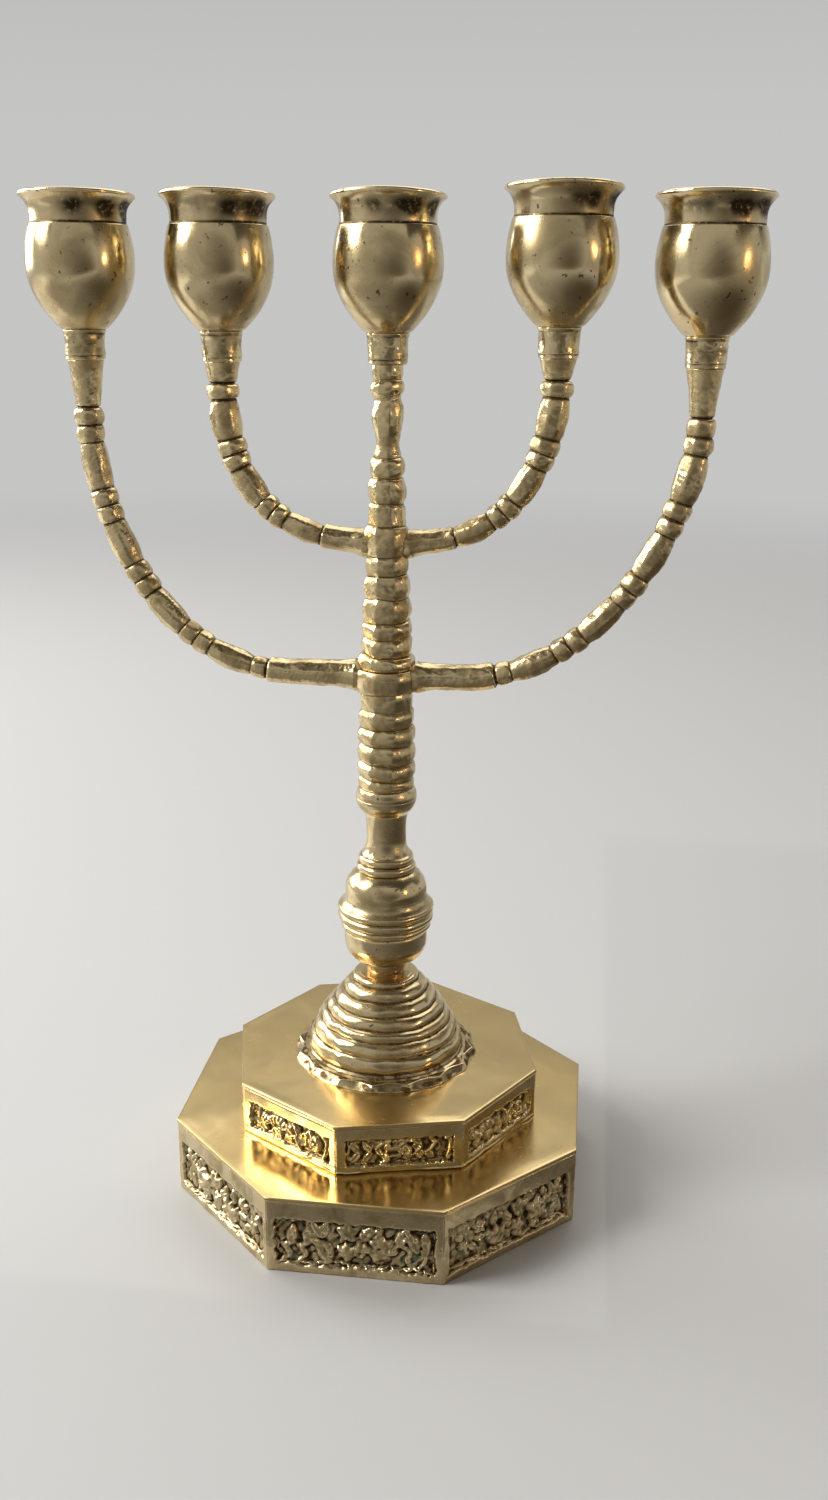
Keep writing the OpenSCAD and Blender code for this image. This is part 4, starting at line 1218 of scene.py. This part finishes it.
HORIZON = (0.56, 0.56, 0.555)
PAPER = (0.56, 0.56, 0.56)
# Colours of the painted reflections on the glowing cards: dark near the object, paler further off.
REFLECTION_DARK, REFLECTION_PALE = (0.075, 0.062, 0.046), (0.46, 0.455, 0.44)
SKY_FRONT, SKY_BACK = (0.07, 0.062, 0.052), (0.42, 0.41, 0.385)
AIM = (0, 0, 0.13)
CAMERA_PLACE = (0.0554, -0.3895, 0.260)
CAMERA_SWING, CAMERA_PITCH, CAMERA_ROLL = 6.93, 72.5, 0.54
CAMERA_LENS = 34.05


def stage_plane(name, low, high, material, seen=True):
    """A level or upright rectangle between two corners; unseen, it only gives reflections."""
    (x0, y0, z0), (x1, y1, z1) = low, high
    if z0 == z1:
        corners = [(x0, y0, z0), (x1, y0, z0), (x1, y1, z0), (x0, y1, z0)]
    else:
        corners = [(x0, y0, z0), (x1, y1, z0), (x1, y1, z1), (x0, y0, z1)]
    mesh = bpy.data.meshes.new(name)
    mesh.from_pydata(corners, [], [(0, 1, 2, 3)])
    thing = bpy.data.objects.new(name, mesh)
    bpy.context.scene.collection.objects.link(thing)
    mesh.materials.append(material)
    if not seen:
        thing.visible_camera = thing.visible_diffuse = False
        thing.visible_shadow = thing.visible_transmission = False


def floor_paper():
    """Pale paper that fades with distance into the tone of the horizon."""
    made, tree, paper = new_material("floor_paper")
    paper.inputs["Base Color"].default_value = (*PAPER, 1)
    paper.inputs["Roughness"].default_value = 0.45
    place = node(tree, "ShaderNodeTexCoord").outputs["Object"]
    far = node(tree, "ShaderNodeVectorMath", i0=place)
    far.operation = "LENGTH"
    glow = node(tree, "ShaderNodeEmission", Color=(*HORIZON, 1))
    mixed = node(tree, "ShaderNodeMixShader", Fac=mask(tree, far.outputs["Value"], 0.6, 1.8))
    tree.links.new(paper.outputs[0], mixed.inputs[1])
    tree.links.new(glow.outputs[0], mixed.inputs[2])
    tree.links.new(mixed.outputs[0], tree.nodes["Material Output"].inputs["Surface"])
    return made


def painted_reflection_card(name, spot, near_m, far_m):
    """A painted reflection for the brass, on a glowing card that only glossy rays see: dark near one spot,
    fading into a paler tone like the room's.
    """
    made, tree, _ = new_material(name)
    place = node(tree, "ShaderNodeTexCoord").outputs["Object"]
    far = node(tree, "ShaderNodeVectorMath", i0=place)
    far.operation = "DISTANCE"
    far.inputs[1].default_value = spot
    share = mask(tree, far.outputs["Value"], near_m, far_m)
    glow = node(tree, "ShaderNodeEmission", Color=blended(tree, REFLECTION_DARK, REFLECTION_PALE, share))
    tree.links.new(glow.outputs[0], tree.nodes["Material Output"].inputs["Surface"])
    return made


def sky():
    """A pale horizon; above it, dark in front of the object and bright behind it."""
    world = bpy.data.worlds.new("studio")
    world.use_nodes = True
    tree = world.node_tree
    way = node(tree, "ShaderNodeTexCoord").outputs["Generated"]
    back = node(tree, "ShaderNodeVectorMath", i0=way)
    back.operation = "DOT_PRODUCT"
    back.inputs[1].default_value = (-0.6, 0.8, 0.0)
    height = node(tree, "ShaderNodeSeparateXYZ", Vector=way).outputs["Z"]
    above = blended(tree, SKY_FRONT, SKY_BACK, mask(tree, back.outputs["Value"], -0.45, 0.6))
    colour = blended(tree, HORIZON, above, mask(tree, height, 0.08, 0.36))
    tree.links.new(colour, tree.nodes["Background"].inputs["Color"])
    tree.nodes["Background"].inputs["Strength"].default_value = 1.0
    bpy.context.scene.world = world
    bpy.context.scene.view_settings.view_transform = "Standard"


def softbox(name, place, width, height, power, colour):
    """A rectangular lamp turned towards the object."""
    light = bpy.data.lights.new(name, "AREA")
    light.shape = "RECTANGLE"
    light.size, light.size_y, light.energy, light.color = width, height, power, colour
    thing = bpy.data.objects.new(name, light)
    bpy.context.scene.collection.objects.link(thing)
    thing.location = place
    thing.rotation_mode = "QUATERNION"
    thing.rotation_quaternion = (Vector(AIM) - Vector(place)).to_track_quat("-Z", "Y")


def studio():
    """Paper, a horizon, glowing cards in front and at the right that paint dark reflections on the brass,
    and four lamps.
    """
    stage_plane("floor", (-6, -6, 0), (6, 6, 0), floor_paper())
    wall = painted_reflection_card("painted_reflection_wall", (0.35, -0.48, 0.05), 0.2, 0.95)
    ground = painted_reflection_card("painted_reflection_ground", (0.3, -0.12, 0.0), 0.05, 0.7)
    # These cards glow and are seen only in glossy rays: they paint dark reflections on the brass.
    for name, reflection_shader, low, high in (
            ("card_front", wall, (-0.9, -0.8, 0.0), (1.0, -0.8, 1.1)),
            ("card_right", wall, (1.0, -0.8, 0.0), (1.0, 0.3, 0.7)),
            ("card_floor", ground, (-0.6, -0.8, 0.002), (1.0, -0.07, 0.002)),
            ("card_side", ground, (0.07, -0.07, 0.002), (1.0, 0.3, 0.002))):
        stage_plane(name, low, high, reflection_shader, seen=False)
    softbox("window", (-1.1, -0.3, 0.95), 0.55, 0.7, 17, (1.0, 0.99, 0.96))
    softbox("left_wall", (-1.3, 0.55, 0.6), 0.8, 0.8, 12, (1.0, 0.99, 0.97))
    softbox("ceiling", (0.1, 0.9, 1.5), 2.2, 1.4, 13, (1.0, 0.98, 0.95))
    softbox("warm_lamp", (0.92, -0.33, 0.35), 0.11, 0.15, 0.6, (1.0, 0.62, 0.3))
    sky()


def camera():
    """The photographer's place and lens."""
    data = bpy.data.cameras.new("camera")
    data.lens, data.sensor_width = CAMERA_LENS, 36.0
    data.clip_start, data.clip_end = 0.01, 20
    thing = bpy.data.objects.new("camera", data)
    bpy.context.scene.collection.objects.link(thing)
    turns = ((CAMERA_SWING, "Z"), (CAMERA_PITCH, "X"), (CAMERA_ROLL, "Z"))
    place = Matrix.Translation(CAMERA_PLACE)
    for degrees, axis in turns:
        place = place @ Matrix.Rotation(math.radians(degrees), 4, axis)
    thing.matrix_world = place
    bpy.context.scene.camera = thing


studio()
camera()
